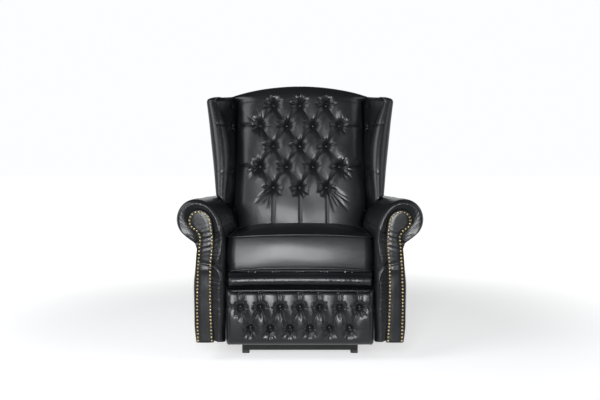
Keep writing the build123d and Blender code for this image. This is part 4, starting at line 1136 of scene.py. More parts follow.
def wing_section(z):
    """The closed ring (x, v) of a wing at a height, and where its parts begin along it."""
    roll = wing_roll(z)
    nose_v = WING_NOSE_V + roll * NOSE_FULLNESS
    rear = np.array([wing_inner(PAD_REAR_V, z), PAD_REAR_V])
    front = np.array([wing_outer(nose_v, z) - 2 * roll, nose_v])
    share = np.linspace(0, 1, int(INNER_RUN / WING_STEP))[:-1, None]
    inner = rear + (front - rear) * share
    swell = INNER_SWELL * np.sin(math.pi * share[:, 0]) ** 1.2
    inner[:, 0] -= swell * smooth_step(z, WING_FOOT_Z, WING_FOOT_Z + 0.08)
    turn = np.linspace(0, math.pi, int(NOSE_RUN / WING_STEP))
    nose_x = wing_outer(nose_v, z) - roll - roll * np.cos(turn)
    nose = np.stack([nose_x, nose_v - roll * NOSE_FULLNESS * np.sin(turn)], axis=1)
    outer_v = np.linspace(nose_v, WING_REAR_V, int(OUTER_RUN / WING_STEP))[1:]
    sink = PANEL_SINK * smooth_step(outer_v, WING_WRAP_V - 0.004, WING_WRAP_V + 0.003)
    outer = np.stack([wing_outer(outer_v, z) - sink, outer_v], axis=1)
    frame_x = FRAME_HALF + WING_SIDE_GAP
    back_x = np.linspace(outer[-1, 0], frame_x, REAR_POINTS + 1)[1:]
    rear_face = np.stack([back_x, np.full(REAR_POINTS, WING_REAR_V)], axis=1)
    side_v = np.linspace(WING_REAR_V, PAD_REAR_V + 0.001, REAR_POINTS + 1)[1:]
    side = np.stack([np.full(REAR_POINTS, frame_x), side_v], axis=1)
    ring = np.vstack([inner, nose, outer, rear_face, side])
    return ring, len(inner), len(nose)


def inset_ring(ring, inset):
    """Moves a ring inwards in its plane by a distance."""
    run = np.roll(ring, -1, axis=0) - np.roll(ring, 1, axis=0)
    run /= np.maximum(np.linalg.norm(run, axis=1, keepdims=True), 1e-9)
    normal = np.stack([run[:, 1], -run[:, 0]], axis=1)
    x, v = ring[:, 0], ring[:, 1]
    area = np.sum(x * np.roll(v, -1) - np.roll(x, -1) * v)
    return ring - math.copysign(inset, area) * normal


def wing_rows():
    """Heights and insets from the foot to the top, with rounded ends."""
    turns = np.linspace(0, math.pi / 2, 7)
    low = [(WING_FOOT_Z + WING_ROUND * (1 - math.sin(t)), WING_ROUND * (1 - math.cos(t)))
           for t in turns[::-1]]
    heights = np.arange(WING_FOOT_Z + WING_ROUND, WING_TOP_Z - WING_ROUND, WING_STEP)
    high = [(WING_TOP_Z - WING_ROUND * (1 - math.sin(t)), WING_ROUND * (1 - math.cos(t)))
            for t in turns]
    return low + [(z, 0.0) for z in heights[1:]] + high


def bent_heights(ring, z):
    """Heights of a ring's points, drawn to the arm at the foot and to the top line at the top."""
    share = (z - WING_FOOT_Z) / (WING_TOP_Z - WING_FOOT_Z)
    foot = above_arm(ring[:, 0], WING_ARM_GAP) - WING_FOOT_Z
    top = wing_top(ring[:, 1]) - WING_TOP_Z
    return z + foot * (1 - share) ** 5 + top * share**5


# %% [markdown]
# ### Buttons and pleats of the wings
#
# On the ring the distance along it takes the place of x, so the same funnels and pleats serve.  A
# button stands half way along the inner face at two heights; from each one pleat runs to the back
# and one forwards over the roll.

# %% Buttons and pleats of the wings
WING_BUTTONS_Z = (0.920, 0.705)
WING_BUTTON_SHARE = 0.52
WING_FUNNEL = {"depth": 0.019, "reach": 0.036}
WING_PLEAT_FORWARDS = {"depth": 0.0038, "width": 0.0030, "taper": True}
WING_PLEAT_REAR = {"depth": 0.010, "middle": 0.4, "width": 0.006}
WING_DENT = {"depth": 0.007, "reach": 0.026}
WING_DENT_PLACE = (0.42, 1.012)
WING_PUCKERS = {"round": (0.0038, 0.0036), "below": (0.0055, 0.005)}
WING_BUTTON_DEPTH = 0.0155


def wing_depths(u, z, inner_end, nose_end):
    """How deep the buttons and pleats press into the ring; u is the distance along it."""
    depths, fans = [], []
    for height, seed in zip(WING_BUTTONS_Z, (41, 42)):
        place = (inner_end * WING_BUTTON_SHARE, height)
        depths.append(funnel(u, z, place, **WING_FUNNEL))
        over = (nose_end + 0.012, height + 0.004)
        depths.append(pleat(u, z, place, over, **WING_PLEAT_FORWARDS))
        depths.append(pleat(u, z, place, (0.0, height - 0.006), **WING_PLEAT_REAR))
        fans.append((fan(place, 0, 360, 11, 0.034, seed), *WING_PUCKERS["round"]))
        fans.append((fan(place, 215, 285, 3, 0.062, seed + 5), *WING_PUCKERS["below"]))
    share, height = WING_DENT_PLACE
    depths.append(funnel(u, z, (inner_end * share, height), **WING_DENT))
    return soft_maximum(depths) + puckers(u, z, fans)


def make_wing():
    """The right wing's points, pressed in by its buttons and pleats."""
    rows = []
    for z, inset in wing_rows():
        ring, inner_count, nose_count = wing_section(z)
        heights = bent_heights(ring, z)
        ring = inset_ring(ring, inset)
        w = up_slope(ring[:, 1], heights)
        rows.append(leaning(ring[:, 0], ring[:, 1], w))
    points = np.stack(rows)
    middle = wing_section(0.83)[0]
    steps = np.linalg.norm(np.diff(middle, axis=0), axis=1)
    u = np.concatenate([[0], np.cumsum(steps)])[None, :]
    inner_end, nose_end = u[0, inner_count], u[0, inner_count + nose_count]
    z = points[..., 2]
    depth = wing_depths(u, z, inner_end, nose_end)
    depth += 0.0004 * smooth_noise(u, z, 0.16, 17, octaves=1) * (u < nose_end)
    normal = normals_of(points, ring=True)
    centre = points.mean(axis=1, keepdims=True)
    sign = np.sign(np.sum(normal * (points - centre), axis=-1).mean())
    fade = np.clip(1 - (u - nose_end) / 0.03, 0, 1)
    return points - sign * normal * (depth * fade)[..., None]


def wing_button_seats():
    """The middle of each button's funnel on the right wing, and the way it faces."""
    seats = []
    for height in WING_BUTTONS_Z:
        ring, inner_count, _ = wing_section(height)
        spot = ring[int(inner_count * WING_BUTTON_SHARE)]
        run = ring[inner_count - 1] - ring[0]
        face = np.array([run[1], -run[0]]) / np.hypot(*run)
        if face[0] > 0:
            face = -face
        deep = spot - face * WING_BUTTON_DEPTH
        w = up_slope(deep[1], height)
        way = leaning(face[0], face[1], 0.0) - leaning(0.0, 0.0, 0.0)
        seats.append((leaning(deep[0], deep[1], w), way))
    return seats


wing_right = ring_object("wing_pad_leather_right", make_wing())
finish_pair(wing_right, "back", leather, "wing_pad")
print("wing faces", len(wing_right.data.polygons))

# %% [markdown]
# ### The outer panels of the wings
#
# The outer side of a wing is a separate panel of tight leather over card.  It starts behind the
# roll with a seam, bows out a little, and turns round the rear corner to the frame.

# %% The outer panels of the wings
PANEL_THICKNESS = 0.006
PANEL_SWELL = 0.003
PANEL_REAR = 0.007
PANEL_POINTS = 40


def outer_panel_section(z):
    """A thin closed ring (x, v): outer face, round the rear corner, and back inside."""
    v = np.linspace(WING_WRAP_V, WING_REAR_V - 0.004, PANEL_POINTS)
    swell = PANEL_SWELL * np.sin(math.pi * np.linspace(0, 1, PANEL_POINTS)) ** 0.6
    outer = np.stack([wing_outer(v, z) - 0.0005 + swell, v], axis=1)
    corner_x = wing_outer(WING_REAR_V, z)
    turn = np.linspace(0, math.pi / 2, 6)[1:]
    corner = np.stack(
        [corner_x - 0.008 * (1 - np.cos(turn)), WING_REAR_V - 0.004 + 0.011 * np.sin(turn)], axis=1
    )
    frame_x = FRAME_HALF + 0.001
    rear_x = np.linspace(corner[-1, 0], frame_x, 14)[1:]
    rear = np.stack([rear_x, np.full(13, WING_REAR_V + PANEL_REAR)], axis=1)
    inner_v = WING_REAR_V + 0.0005
    turned_in = np.array([[frame_x, inner_v], [corner_x - PANEL_THICKNESS, inner_v]])
    inner = np.stack([wing_outer(v[::-1], z) - PANEL_THICKNESS, v[::-1]], axis=1)
    return np.vstack([outer, corner, rear, turned_in, inner])


def make_outer_panel():
    rows = []
    turns = np.linspace(0, math.pi / 2, 5)
    heights = [WING_FOOT_Z + 0.001 + 0.003 * (1 - math.sin(t)) for t in turns[::-1]]
    heights += list(np.linspace(WING_FOOT_Z + 0.004, WING_TOP_Z - 0.006, 90)[1:])
    for z in heights:
        ring = outer_panel_section(z)
        w = up_slope(ring[:, 1], bent_heights(ring, z))
        rows.append(leaning(ring[:, 0], ring[:, 1], w))
    return np.stack(rows)


panel_right = ring_object("outside_wing_leather_right", make_outer_panel())
finish_pair(panel_right, "back", tight_leather, "outside_wing")
print("outer panel faces", len(panel_right.data.polygons))

# %% [markdown]
# ## The arms
#
# In front view an arm is an upright face that curls over into a scroll.  Three panels of leather
# cover it: inside, roll and outside.  Each runs forwards, turns over the front edge, and is
# gathered under the nails of the flat facing; the gathers show as short pleats round the scroll.
# The outline is drawn from arcs and straight lines, as a maker draws the pattern, and one outline
# serves all three panels, so their seams meet.

# %% The arm's outline
ARM_FOOT_Z = 0.075
SCROLL_END = math.radians(-95)
ARM_FRONT_Y = -0.437
ARM_REAR_Y = 0.242
ARM_STEP = 0.0024


def fall(y, z):
    """How far the arm's top lies lower towards the rear."""
    share = np.clip((y - ARM_FRONT_Y) / (ARM_REAR_Y - ARM_FRONT_Y), 0, 1)
    return ARM_FALL * share * smooth_step(z, 0.40, 0.52)


def arc_through(first, middle, last, step):
    """Points along the arc through three points."""
    (ax, ay), (bx, by), (cx, cy) = first, middle, last
    d = 2 * (ax * (by - cy) + bx * (cy - ay) + cx * (ay - by))
    a2, b2, c2 = ax**2 + ay**2, bx**2 + by**2, cx**2 + cy**2
    ux = (a2 * (by - cy) + b2 * (cy - ay) + c2 * (ay - by)) / d
    uy = (a2 * (cx - bx) + b2 * (ax - cx) + c2 * (bx - ax)) / d
    radius = math.hypot(ax - ux, ay - uy)
    start, half, end = (math.atan2(y - uy, x - ux) for x, y in (first, middle, last))
    turn = (end - start) % (2 * math.pi)
    if (half - start) % (2 * math.pi) > turn:
        turn -= 2 * math.pi
    count = max(3, int(abs(turn) * radius / step) + 1)
    angles = start + turn * np.linspace(0, 1, count)
    return np.stack([ux + radius * np.cos(angles), uy + radius * np.sin(angles)], axis=1)


def straight(first, last, step):
    count = max(2, int(math.dist(first, last) / step) + 1)
    return np.linspace(first, last, count)


def chain(*runs):
    """Joins runs end to end without doubling the shared points."""
    return np.vstack([runs[0]] + [run[1:] for run in runs[1:]])


def on_scroll(angle, radius=SCROLL_RADIUS):
    return (SCROLL[0] + radius * math.cos(angle), SCROLL[1] + radius * math.sin(angle))


def on_curl(rise):
    return (curl_x - math.sqrt(curl_radius**2 - rise**2), ARM_CURL_Z + rise)


SEAM_POINT = on_curl(0.048)
ARM_UNDER = on_scroll(SCROLL_END)
ARM_HIP = (0.399, 0.250)
ARM_FOOT = (0.3905, ARM_FOOT_Z)


def arm_runs(step):
    """The outline in three runs: inside, roll and outside."""
    inside = chain(
        straight((ARM_INNER_X, ARM_FOOT_Z), (ARM_INNER_X, ARM_CURL_Z), step),
        arc_through((ARM_INNER_X, ARM_CURL_Z), on_curl(0.024), SEAM_POINT, step),
    )
    start = on_scroll(curl_end)
    middle = on_curl((SEAM_POINT[1] + start[1]) / 2 - ARM_CURL_Z)
    count = int(SCROLL_RADIUS * (curl_end - SCROLL_END) / step)
    scroll = np.array([on_scroll(a) for a in np.linspace(curl_end, SCROLL_END, count)])
    roll = chain(arc_through(SEAM_POINT, middle, start, step), scroll)
    outside = arc_through(ARM_UNDER, ARM_HIP, ARM_FOOT, step)
    return inside, roll, outside


print("arm outline points", [len(run) for run in arm_runs(ARM_STEP)])

# %% [markdown]
# ### The line of nails
#
# The nails follow the scroll a little inside its rim and run down both edges of the facing.  The
# line is a chain of arcs through a few marked points.  Each point of the arm's outline gets a
# partner on it, so the gathered leather runs the shortest way from the rim to the nails.

# %% The line of nails
NAIL_FOOT_Z = 0.083
NAIL_POINTS = {
    "foot_out": (0.3805, NAIL_FOOT_Z), "hip": (0.383, 0.240), "neck_out": (0.3715, 0.455),
    "crook": (0.377, 0.487), "head_out": (0.398, 0.505), "crown_out": (0.408, 0.542),
    "head_top": (0.374, 0.565), "crown_in": (0.348, 0.553), "head_in": (0.334, 0.527),
    "neck_in": (0.3275, 0.440), "waist": (0.3335, 0.375), "knee": (0.335, 0.300),
    "foot_in": (0.3295, NAIL_FOOT_Z),
}
NAIL_ARCS = (
    ("foot_out", "hip", "neck_out"), ("neck_out", "crook", "head_out"),
    ("head_out", "crown_out", "head_top"), ("head_top", "crown_in", "head_in"),
    ("head_in", "neck_in", "waist"), ("waist", "knee", "foot_in"),
)
nail_line = chain(*[arc_through(*[NAIL_POINTS[name] for name in arc], 0.001) for arc in NAIL_ARCS])


def reach_along(line):
    """The distance of each point of a line from its start."""
    steps = np.linalg.norm(np.diff(line, axis=0), axis=1)
    return np.concatenate([[0], np.cumsum(steps)])


def along(line, shares):
    """Points at shares of a line's length."""
    reach = reach_along(line)
    return np.stack([np.interp(shares * reach[-1], reach, line[:, k]) for k in (0, 1)], axis=1)


def partner_of(outline):
    """For each point of the arm's outline, the point of the nail line that its leather runs to."""
    landmarks = [
        ((ARM_INNER_X, ARM_FOOT_Z), 1.0), ((ARM_INNER_X, 0.36), 0.722),
        ((ARM_INNER_X, ARM_CURL_Z), 0.652), (on_scroll(math.radians(150)), 0.560),
        (on_scroll(math.radians(98)), 0.505), (on_scroll(math.radians(45)), 0.452),
        (on_scroll(0), 0.405), (on_scroll(math.radians(-50)), 0.365),
        (ARM_UNDER, 0.322), (ARM_HIP, 0.155), (ARM_FOOT, 0.0),
    ]
    whole = chain(*arm_runs(0.001))
    reach = reach_along(whole)

    def reach_at(point):
        return reach[np.argmin(np.hypot(whole[:, 0] - point[0], whole[:, 1] - point[1]))]

    marks = np.array([(reach_at(point), share) for point, share in landmarks])
    own = np.array([reach_at(point) for point in outline])
    return along(nail_line, np.interp(own, marks[:, 0], marks[:, 1])), own


print("nail line", round(reach_along(nail_line)[-1], 3), "m")

# %% [markdown]
# ### The folds of an arm
#
# Where the leather is gathered to the nails it rises in uneven ridges, each with its own width and
# length.  The pad is fullest in the scroll, and half way down its inner front edge a deep tuck
# shows where the fuller upper pad ends.

# %% The folds of an arm
ROLL_CREST = 0.018
RING_DIP = (0.008, 0.015)


def ring_dip(outline):
    """How far the leather sinks from the rim to the nails: less where the timber post is near."""
    x, z = outline[:, 0], outline[:, 1]
    shallow, deep = RING_DIP
    inner = shallow + (deep - shallow) * smooth_step(z, 0.465, 0.52)
    return np.where(x < 0.36, inner, deep)


def crest_inset(outline):
    """How far the front crest lies inside the outline: less where the pad is full."""
    x, z = outline[:, 0], outline[:, 1]
    inner_side = x < 0.30
    heights = (0.075, 0.292, 0.312, 0.334, 0.354, 0.368, 0.376, 0.389, 0.417, 0.457, 0.52)
    insets = (0.023, 0.022, 0.0145, 0.022, 0.034, 0.040, 0.037, 0.027, 0.0165, 0.0105, 0.015)
    return np.where(inner_side & (z < 0.52), np.interp(z, heights, insets), ROLL_CREST)


def gather(reach, across, strength, seed):
    """Pleats that radiate from the nails: uneven ridges along the outline."""
    random = np.random.default_rng(seed)
    total = np.zeros(np.broadcast(reach, across).shape)
    place = reach.min()
    while place < reach.max():
        place += random.uniform(0.007, 0.019)
        reach_out = random.uniform(0.45, 1.0)
        height = strength * random.uniform(0.35, 1.0)
        width = random.uniform(0.0018, 0.0034)
        drift = random.uniform(-0.004, 0.004) * across
        away = np.abs(reach - place - drift)
        fade = np.clip((across - (1 - reach_out)) / max(reach_out, 0.01), 0, 1) ** 1.3
        total = np.maximum(total, height * np.exp(-((away / width) ** 1.3)) * fade)
    return total


def notch_depth(grid):
    """The fold on the inner front edge, where the fuller upper pad ends."""
    x, y, z = grid[..., 0], grid[..., 1], grid[..., 2]
    line_z = 0.356 + 0.55 * (x - 0.300)
    near = np.exp(-np.abs(z - line_z) / 0.0065)
    front = smooth_step(-y, 0.405, 0.436)
    return 0.010 * near * front * (x < 0.337)


# %% [markdown]
# ### The three panels of an arm
#
# A panel is the outline swept forwards, turned over the front edge on a quarter round, and run in
# to its partners on the nail line, where it sinks.  The share of the gathers grows on the way.
# A few points inside the arm close the ring, so that each panel is a solid pad.

# %% The three panels of an arm
FRONT_TURN = 0.022
FRONT_PROUD = 0.006
FRONT_DEPTH = 0.028
GATHER_STARTS = 0.10
GATHER_AT_CREST = 0.65
PAD_MIDDLE = (0.345, 0, 0.3)
PAD_DEEP_X = 0.309


def panel_rows(outline, inward, width):
    """The rows of a panel from the rear to the nails, and the share of the gathers at each."""
    crest = np.minimum(crest_inset(outline)[:, None], width * 0.6)
    rows, shares = [], []
    length = ARM_REAR_Y - ARM_FRONT_Y
    for share in np.linspace(0, 1, 46):
        rows.append((outline, np.full(len(outline), ARM_REAR_Y - (length - FRONT_TURN) * share)))
        shares.append(GATHER_STARTS * smooth_step(share, 0.55, 1.0))
    for turn in np.linspace(0, math.pi / 2, 9)[1:]:
        flat = outline + inward * crest * (1 - math.cos(turn))
        y = ARM_FRONT_Y + FRONT_TURN - FRONT_DEPTH * math.sin(turn)
        rows.append((flat, np.full(len(outline), y)))
        shares.append(GATHER_STARTS + (GATHER_AT_CREST - GATHER_STARTS) * turn / (math.pi / 2))
    for part in np.linspace(0, 1, 9)[1:]:
        flat = outline + inward * (crest + (width - crest) * part)
        rows.append((flat, ARM_FRONT_Y - FRONT_PROUD + ring_dip(outline) * part**1.3))
        shares.append(GATHER_AT_CREST + (1 - GATHER_AT_CREST) * part)
    grid = np.stack([np.stack([flat[:, 0], y, flat[:, 1]], axis=1) for flat, y in rows])
    return grid, np.array(shares)[:, None]


def arm_panel(name, outline, closing, gathers, seed):
    """A closed panel: the outline swept forwards, turned over the front and run to the nails."""
    target, reach = partner_of(outline)
    inward = target - outline
    width = np.maximum(np.linalg.norm(inward, axis=1, keepdims=True), 1e-6)
    grid, across = panel_rows(outline, inward / width, width)
    ridges = gather(reach[None, :], across, gathers, seed)
    swell = 0.0012 * smooth_noise(reach[None, :], across * 0.4 + grid[..., 1], 0.15, seed + 1, 1)
    grid[..., 2] -= fall(grid[..., 1], grid[..., 2])
    normal = normals_of(grid)
    outwards = np.sign(np.sum(normal[0] * (grid[0] - np.array(PAD_MIDDLE)), axis=-1).mean())
    grid = grid - outwards * normal * (ridges - swell + notch_depth(grid))[..., None]
    rear_most = [np.full(len(closing), row[:, 1].max()) for row in grid]
    inner = np.stack([np.stack([closing[:, 0], y, closing[:, 1]], axis=1) for y in rear_most])
    return ring_object(name, np.concatenate([grid, inner], axis=1))


inside_run, roll_run, outside_run = arm_runs(ARM_STEP)
inside_closing = ((0.318, 0.497), (PAD_DEEP_X, ARM_CURL_Z), (PAD_DEEP_X, ARM_FOOT_Z))
roll_closing = ((0.35, 0.474), (0.317, 0.490))
outside_closing = ((0.375, ARM_FOOT_Z), (0.383, 0.250), (0.368, 0.466))
for node, run, closing, gathers, seed in (
    ("inside_arm", inside_run, inside_closing, 0.0016, 51),
    ("arm_roll", roll_run, roll_closing, 0.0015, 52),
    ("outside_arm", outside_run, outside_closing, 0.0009, 53),
):
    panel = arm_panel(f"{node}_leather_right", run, np.array(closing), gathers, seed)
    finish_pair(panel, "base", leather, node)
    print(node, len(panel.data.polygons))

# %% [markdown]
# ## The covers at the rear of the base
#
# At the rear an upholsterer closes each arm with a stiff panel, laid over the turned-in ends of the
# other leather and tacked from below, and covers the board between the arms in the same way.  The
# rail behind the seat gets black cloth.  A plain slab would look like card, so each is a thin
# closed pad with soft edges and a slight ripple.

# %% Covers of the arm ends, the rear board and the rear rail
REAR_COVER_Y = 0.2465
ARM_END_TOP_Z = 0.458
ARM_END_REACH_Z = 0.485
APRON_TOP_Z = 0.2515
RAIL_CLOTH = (0.250, 0.2745, 0.3315)
PANEL_RIM = 0.006
PANEL_RIM_DROP = 0.0035


def soft_panel(name, left, right, z, face_y, rear_y, top=None):
    """A panel between two upright lines, its rims turned forwards, as a closed piece."""
    share = (1 - np.cos(np.linspace(0, math.pi, 60)))[None, :] / 2
    x = left[:, None] + (right - left)[:, None] * share
    height = np.broadcast_to(z[:, None], x.shape).copy()
    from_side = np.minimum(share, 1 - share) * (right - left)[:, None]
    rim = np.minimum(from_side, np.minimum(height - z[0], z[-1] - height))
    drop = PANEL_RIM_DROP * np.clip(1 - rim / PANEL_RIM, 0, 1) ** 2
    ripple = 0.0005 * smooth_noise(x, height, 0.11, 91, octaves=1)
    y = face_y - drop + ripple * np.clip(rim / 0.02, 0, 1)
    if top is not None:
        height += (top(x) - z[-1]) * ((height - z[0]) / (z[-1] - z[0])) ** 8
    face = np.stack([x, y, height], axis=-1)
    rear = face.copy()
    rear[..., 1] = rear_y
    return closed_pad(name, face, rear)


def even_heights(low, high, count=90):
    """Heights from low to high, closer together at both ends."""
    return low + (high - low) * (1 - np.cos(np.linspace(0, math.pi, count))) / 2


def under_roll(x):
    """The top line of an arm's end cover: it runs up beside the underside of the roll."""
    roll = SCROLL[1] - np.sqrt(np.maximum(SCROLL_RADIUS**2 - (x - SCROLL[0]) ** 2, 0))
    beside = ARM_END_TOP_Z + 3 * (x - ARM_INNER_X)
    return np.clip(np.minimum(roll - 0.006, beside), None, ARM_END_REACH_Z)


end_z = even_heights(ARM_FOOT_Z + 0.001, ARM_END_TOP_Z)
end_inner = np.full(len(end_z), ARM_INNER_X + 0.0015)
outer_line = outside_run[np.argsort(outside_run[:, 1])]
end_outer = np.interp(end_z, outer_line[:, 1], outer_line[:, 0]) - 0.0015
arm_end = soft_panel(
    "arm_end_leather_right", end_inner, end_outer, end_z, REAR_COVER_Y, 0.2305, under_roll
)
finish_pair(arm_end, "base", tight_leather)

apron_z = even_heights(ARM_FOOT_Z - 0.001, APRON_TOP_Z)
apron_side = np.full(len(apron_z), ARM_INNER_X - 0.0003)
apron = soft_panel("rear_board_leather", -apron_side, apron_side, apron_z, REAR_COVER_Y, 0.2215)
finish(apron, "base", tight_leather)

rail_half, rail_low, rail_high = RAIL_CLOTH
rail_z = even_heights(rail_low, rail_high)
rail_side = np.full(len(rail_z), rail_half)
rail = soft_panel("rear_rail_cloth", -rail_side, rail_side, rail_z, 0.2218, 0.2165)
finish(rail, "seat", deck_cloth)
print("rear covers", [len(piece.data.polygons) for piece in (arm_end, apron, rail)])

# %% [markdown]
# ## The facing and its nails
#
# The facing is a narrow board covered in leather, nailed over the gathers.  It could be cut from
# the nail line as a flat face, but its leather is stuffed, so it is a grid between the inner and
# the outer row of nails: a little padded, with small folds in its neck and one crease below.

# %% The facing
FACING_FRONT_Y = -0.4455
FACING_MARGIN = 0.007
FACING_BED = 0.0105
FACING_HOLLOW = 0.008
FACING_COLUMNS = 40
EDGE_RISE = 0.0062
MIDDLE_RISE = 0.0018
APEX_SHARE = 0.497
NECK = (0.455, 0.042)
CREASE = (0.372, 0.006)
PLUMP = (0.350, 0.012)


def facing_sides(count):
    """Matching points of the outer and the inner edge, from the foot to the apex."""
    run = np.roll(nail_line, -1, axis=0) - np.roll(nail_line, 1, axis=0)
    run[0], run[-1] = nail_line[1] - nail_line[0], nail_line[-1] - nail_line[-2]
    run /= np.linalg.norm(run, axis=1, keepdims=True)
    edge = nail_line + FACING_MARGIN * np.stack([run[:, 1], -run[:, 0]], axis=1)
    shares = np.linspace(0, 1, count) ** 0.92
    outer = along(edge, shares * APEX_SHARE)
    inner = along(edge, 1 - shares * (1 - APEX_SHARE))
    return outer, inner


def bell(value, middle, spread):
    """A bell curve: 1 at the middle, gone a little past the spread."""
    return np.exp(-(((value - middle) / spread) ** 2))


def make_facing():
    """The facing of the right arm as a closed pad."""
    outer, inner = facing_sides(240)
    outer[0, 1] = inner[0, 1] = ARM_FOOT_Z + 0.001
    across = (1 - np.cos(np.linspace(0, math.pi, FACING_COLUMNS))) / 2
    flat = inner[:, None] + (outer - inner)[:, None] * across[None, :, None]
    width = np.linalg.norm(outer - inner, axis=1)[:, None]
    from_edge = np.minimum(across, 1 - across)[None, :] * width
    rise = EDGE_RISE * (1 - np.exp(-from_edge / 0.0012))
    rise = rise + MIDDLE_RISE * smooth_step(from_edge, 0.006, 0.022)
    x, z = flat[..., 0], flat[..., 1]
    slant = z + 0.25 * (x - 0.35)
    folds = 0.0005 * bell(z, *NECK) * (np.sin(slant * 340) + 0.6 * np.sin(slant * 207 + 1.0))
    crease = 0.0034 * bell(z - 0.2 * (x - 0.35), *CREASE)
    plump = 0.0022 * bell(z, *PLUMP) + 0.0005 * smooth_noise(x, z, 0.09, 61, octaves=1)
    inside = smooth_step(from_edge, 0.003, 0.012)
    y = FACING_FRONT_Y + FACING_HOLLOW - rise + inside * (folds + crease - plump)
    face = np.stack([x, y, z], axis=-1)
    rear = face.copy()
    rear[..., 1] = ARM_FRONT_Y + FACING_BED
    return closed_pad("facing_leather_right", face, rear)


facing_right = make_facing()
finish_pair(facing_right, "base", soft_leather, "arm_facing")
print("facing faces", len(facing_right.data.polygons))

# %% [markdown]
# ### Domes set by Geometry Nodes
#
# Nails and buttons are the same small dome many times over.  Copying an object by hand would do for
# a few; Geometry Nodes set all of them at once.  For the nails they cut the line into equal steps
# and put a dome on each point.  For the buttons they read from each point which way its dome faces.
# The named inputs hold the sizes, and the result is kept as plain mesh.

# %% Geometry Nodes that set domes
NAIL_COUNT = 80
NAIL_RADIUS = 0.0043
NAIL_RISE = 0.0031
BUTTON_RADIUS = 0.0080
BUTTON_RISE = 0.0052
DOME_SEGMENTS, DOME_RINGS = 14, 8


def new_tree(name, count=None):
    """A tree for a mesh, with named inputs for the size of its domes, and its inputs' outputs."""
    tree = bpy.data.node_groups.new(name, "GeometryNodeTree")
    add_socket = tree.interface.new_socket
    add_socket("Geometry", in_out="INPUT", socket_type="NodeSocketGeometry")
    if count:
        add_socket("Count", in_out="INPUT", socket_type="NodeSocketInt").default_value = count
    for label, size in (("Radius", BUTTON_RADIUS), ("Rise", BUTTON_RISE)):
        add_socket(label, in_out="INPUT", socket_type="NodeSocketFloat").default_value = size
    add_socket("Geometry", in_out="OUTPUT", socket_type="NodeSocketGeometry")
    return tree, add_node(tree, "NodeGroupInput").outputs


def dome_nodes(tree, radius, rise):
    """Adds nodes for a low dome that stands on its base circle, and returns its geometry."""
    ball = add_node(tree, "GeometryNodeMeshUVSphere")
    ball.inputs["Segments"].default_value = DOME_SEGMENTS
    ball.inputs["Rings"].default_value = DOME_RINGS
    ball.inputs["Radius"].default_value = 1.0
    size = add_node(tree, "ShaderNodeCombineXYZ")
    for axis, value in (("X", radius), ("Y", radius), ("Z", rise)):
        tree.links.new(value, size.inputs[axis])
    shape = add_node(tree, "GeometryNodeTransform")
    tree.links.new(ball.outputs["Mesh"], shape.inputs["Geometry"])
    tree.links.new(size.outputs["Vector"], shape.inputs["Scale"])
    smooth = add_node(tree, "GeometryNodeSetShadeSmooth")
    tree.links.new(shape.outputs["Geometry"], smooth.inputs["Geometry"])
    return smooth.outputs["Geometry"]


def finish_tree(tree, given, place, material):
    """Puts a dome on each point; instances become real mesh and take the material."""
    dome = dome_nodes(tree, given["Radius"], given["Rise"])
    tree.links.new(dome, place.inputs["Instance"])
    real = add_node(tree, "GeometryNodeRealizeInstances")
    paint = add_node(tree, "GeometryNodeSetMaterial")
    paint.inputs["Material"].default_value = material
    out = add_node(tree, "NodeGroupOutput")
    tree.links.new(place.outputs["Instances"], real.inputs["Geometry"])
    tree.links.new(real.outputs["Geometry"], paint.inputs["Geometry"])
    tree.links.new(paint.outputs["Geometry"], out.inputs[0])
    return tree


def nail_tree(material):
    """Domes at equal steps along a line, all facing forwards."""
    tree, given = new_tree("nail_setter", NAIL_COUNT)
    curve = add_node(tree, "GeometryNodeMeshToCurve")
    even = add_node(tree, "GeometryNodeResampleCurve")
    place = add_node(tree, "GeometryNodeInstanceOnPoints")
    place.inputs["Rotation"].default_value = (math.pi / 2, 0, 0)
    tree.links.new(given["Geometry"], curve.inputs["Mesh"])
    tree.links.new(curve.outputs["Curve"], even.inputs["Curve"])
    tree.links.new(given["Count"], even.inputs["Count"])
    tree.links.new(even.outputs["Curve"], place.inputs["Points"])
    return finish_tree(tree, given, place, material)


def button_tree(material):
    """Domes on points, each turned to the way that its point holds."""
    tree, given = new_tree("button_setter")
    way = add_node(tree, "GeometryNodeInputNamedAttribute", data_type="FLOAT_VECTOR")
    way.inputs["Name"].default_value = "way"
    turn = add_node(tree, "FunctionNodeAlignRotationToVector", axis="Z")
    place = add_node(tree, "GeometryNodeInstanceOnPoints")
    tree.links.new(way.outputs["Attribute"], turn.inputs["Vector"])
    tree.links.new(turn.outputs["Rotation"], place.inputs["Rotation"])
    tree.links.new(given["Geometry"], place.inputs["Points"])
    return finish_tree(tree, given, place, material)


def grown(name, source, tree, values):
    """Runs a tree on an object and keeps the result as a plain mesh in a new object."""
    modifier = source.modifiers.new("grow", "NODES")
    modifier.node_group = tree
    sockets = {item.name: item.identifier for item in tree.interface.items_tree
               if item.item_type == "SOCKET" and item.in_out == "INPUT"}
    for key, value in values.items():
        modifier[sockets[key]] = value
    bpy.context.view_layer.update()
    evaluated = source.evaluated_get(bpy.context.evaluated_depsgraph_get())
    mesh = bpy.data.meshes.new_from_object(evaluated)
    mesh.name = name
    source.modifiers.clear()
    bpy.data.objects.remove(source)
    return add_object(name, mesh)


def line_object(name, lines):
    """Polylines as loose edges."""
    corners, edges = [], []
    for line in lines:
        first = len(corners)
        corners += [tuple(point) for point in line]
        edges += [(k, k + 1) for k in range(first, len(corners) - 1)]
    mesh = bpy.data.meshes.new(name)
    mesh.from_pydata(corners, edges, [])
    return add_object(name, mesh)


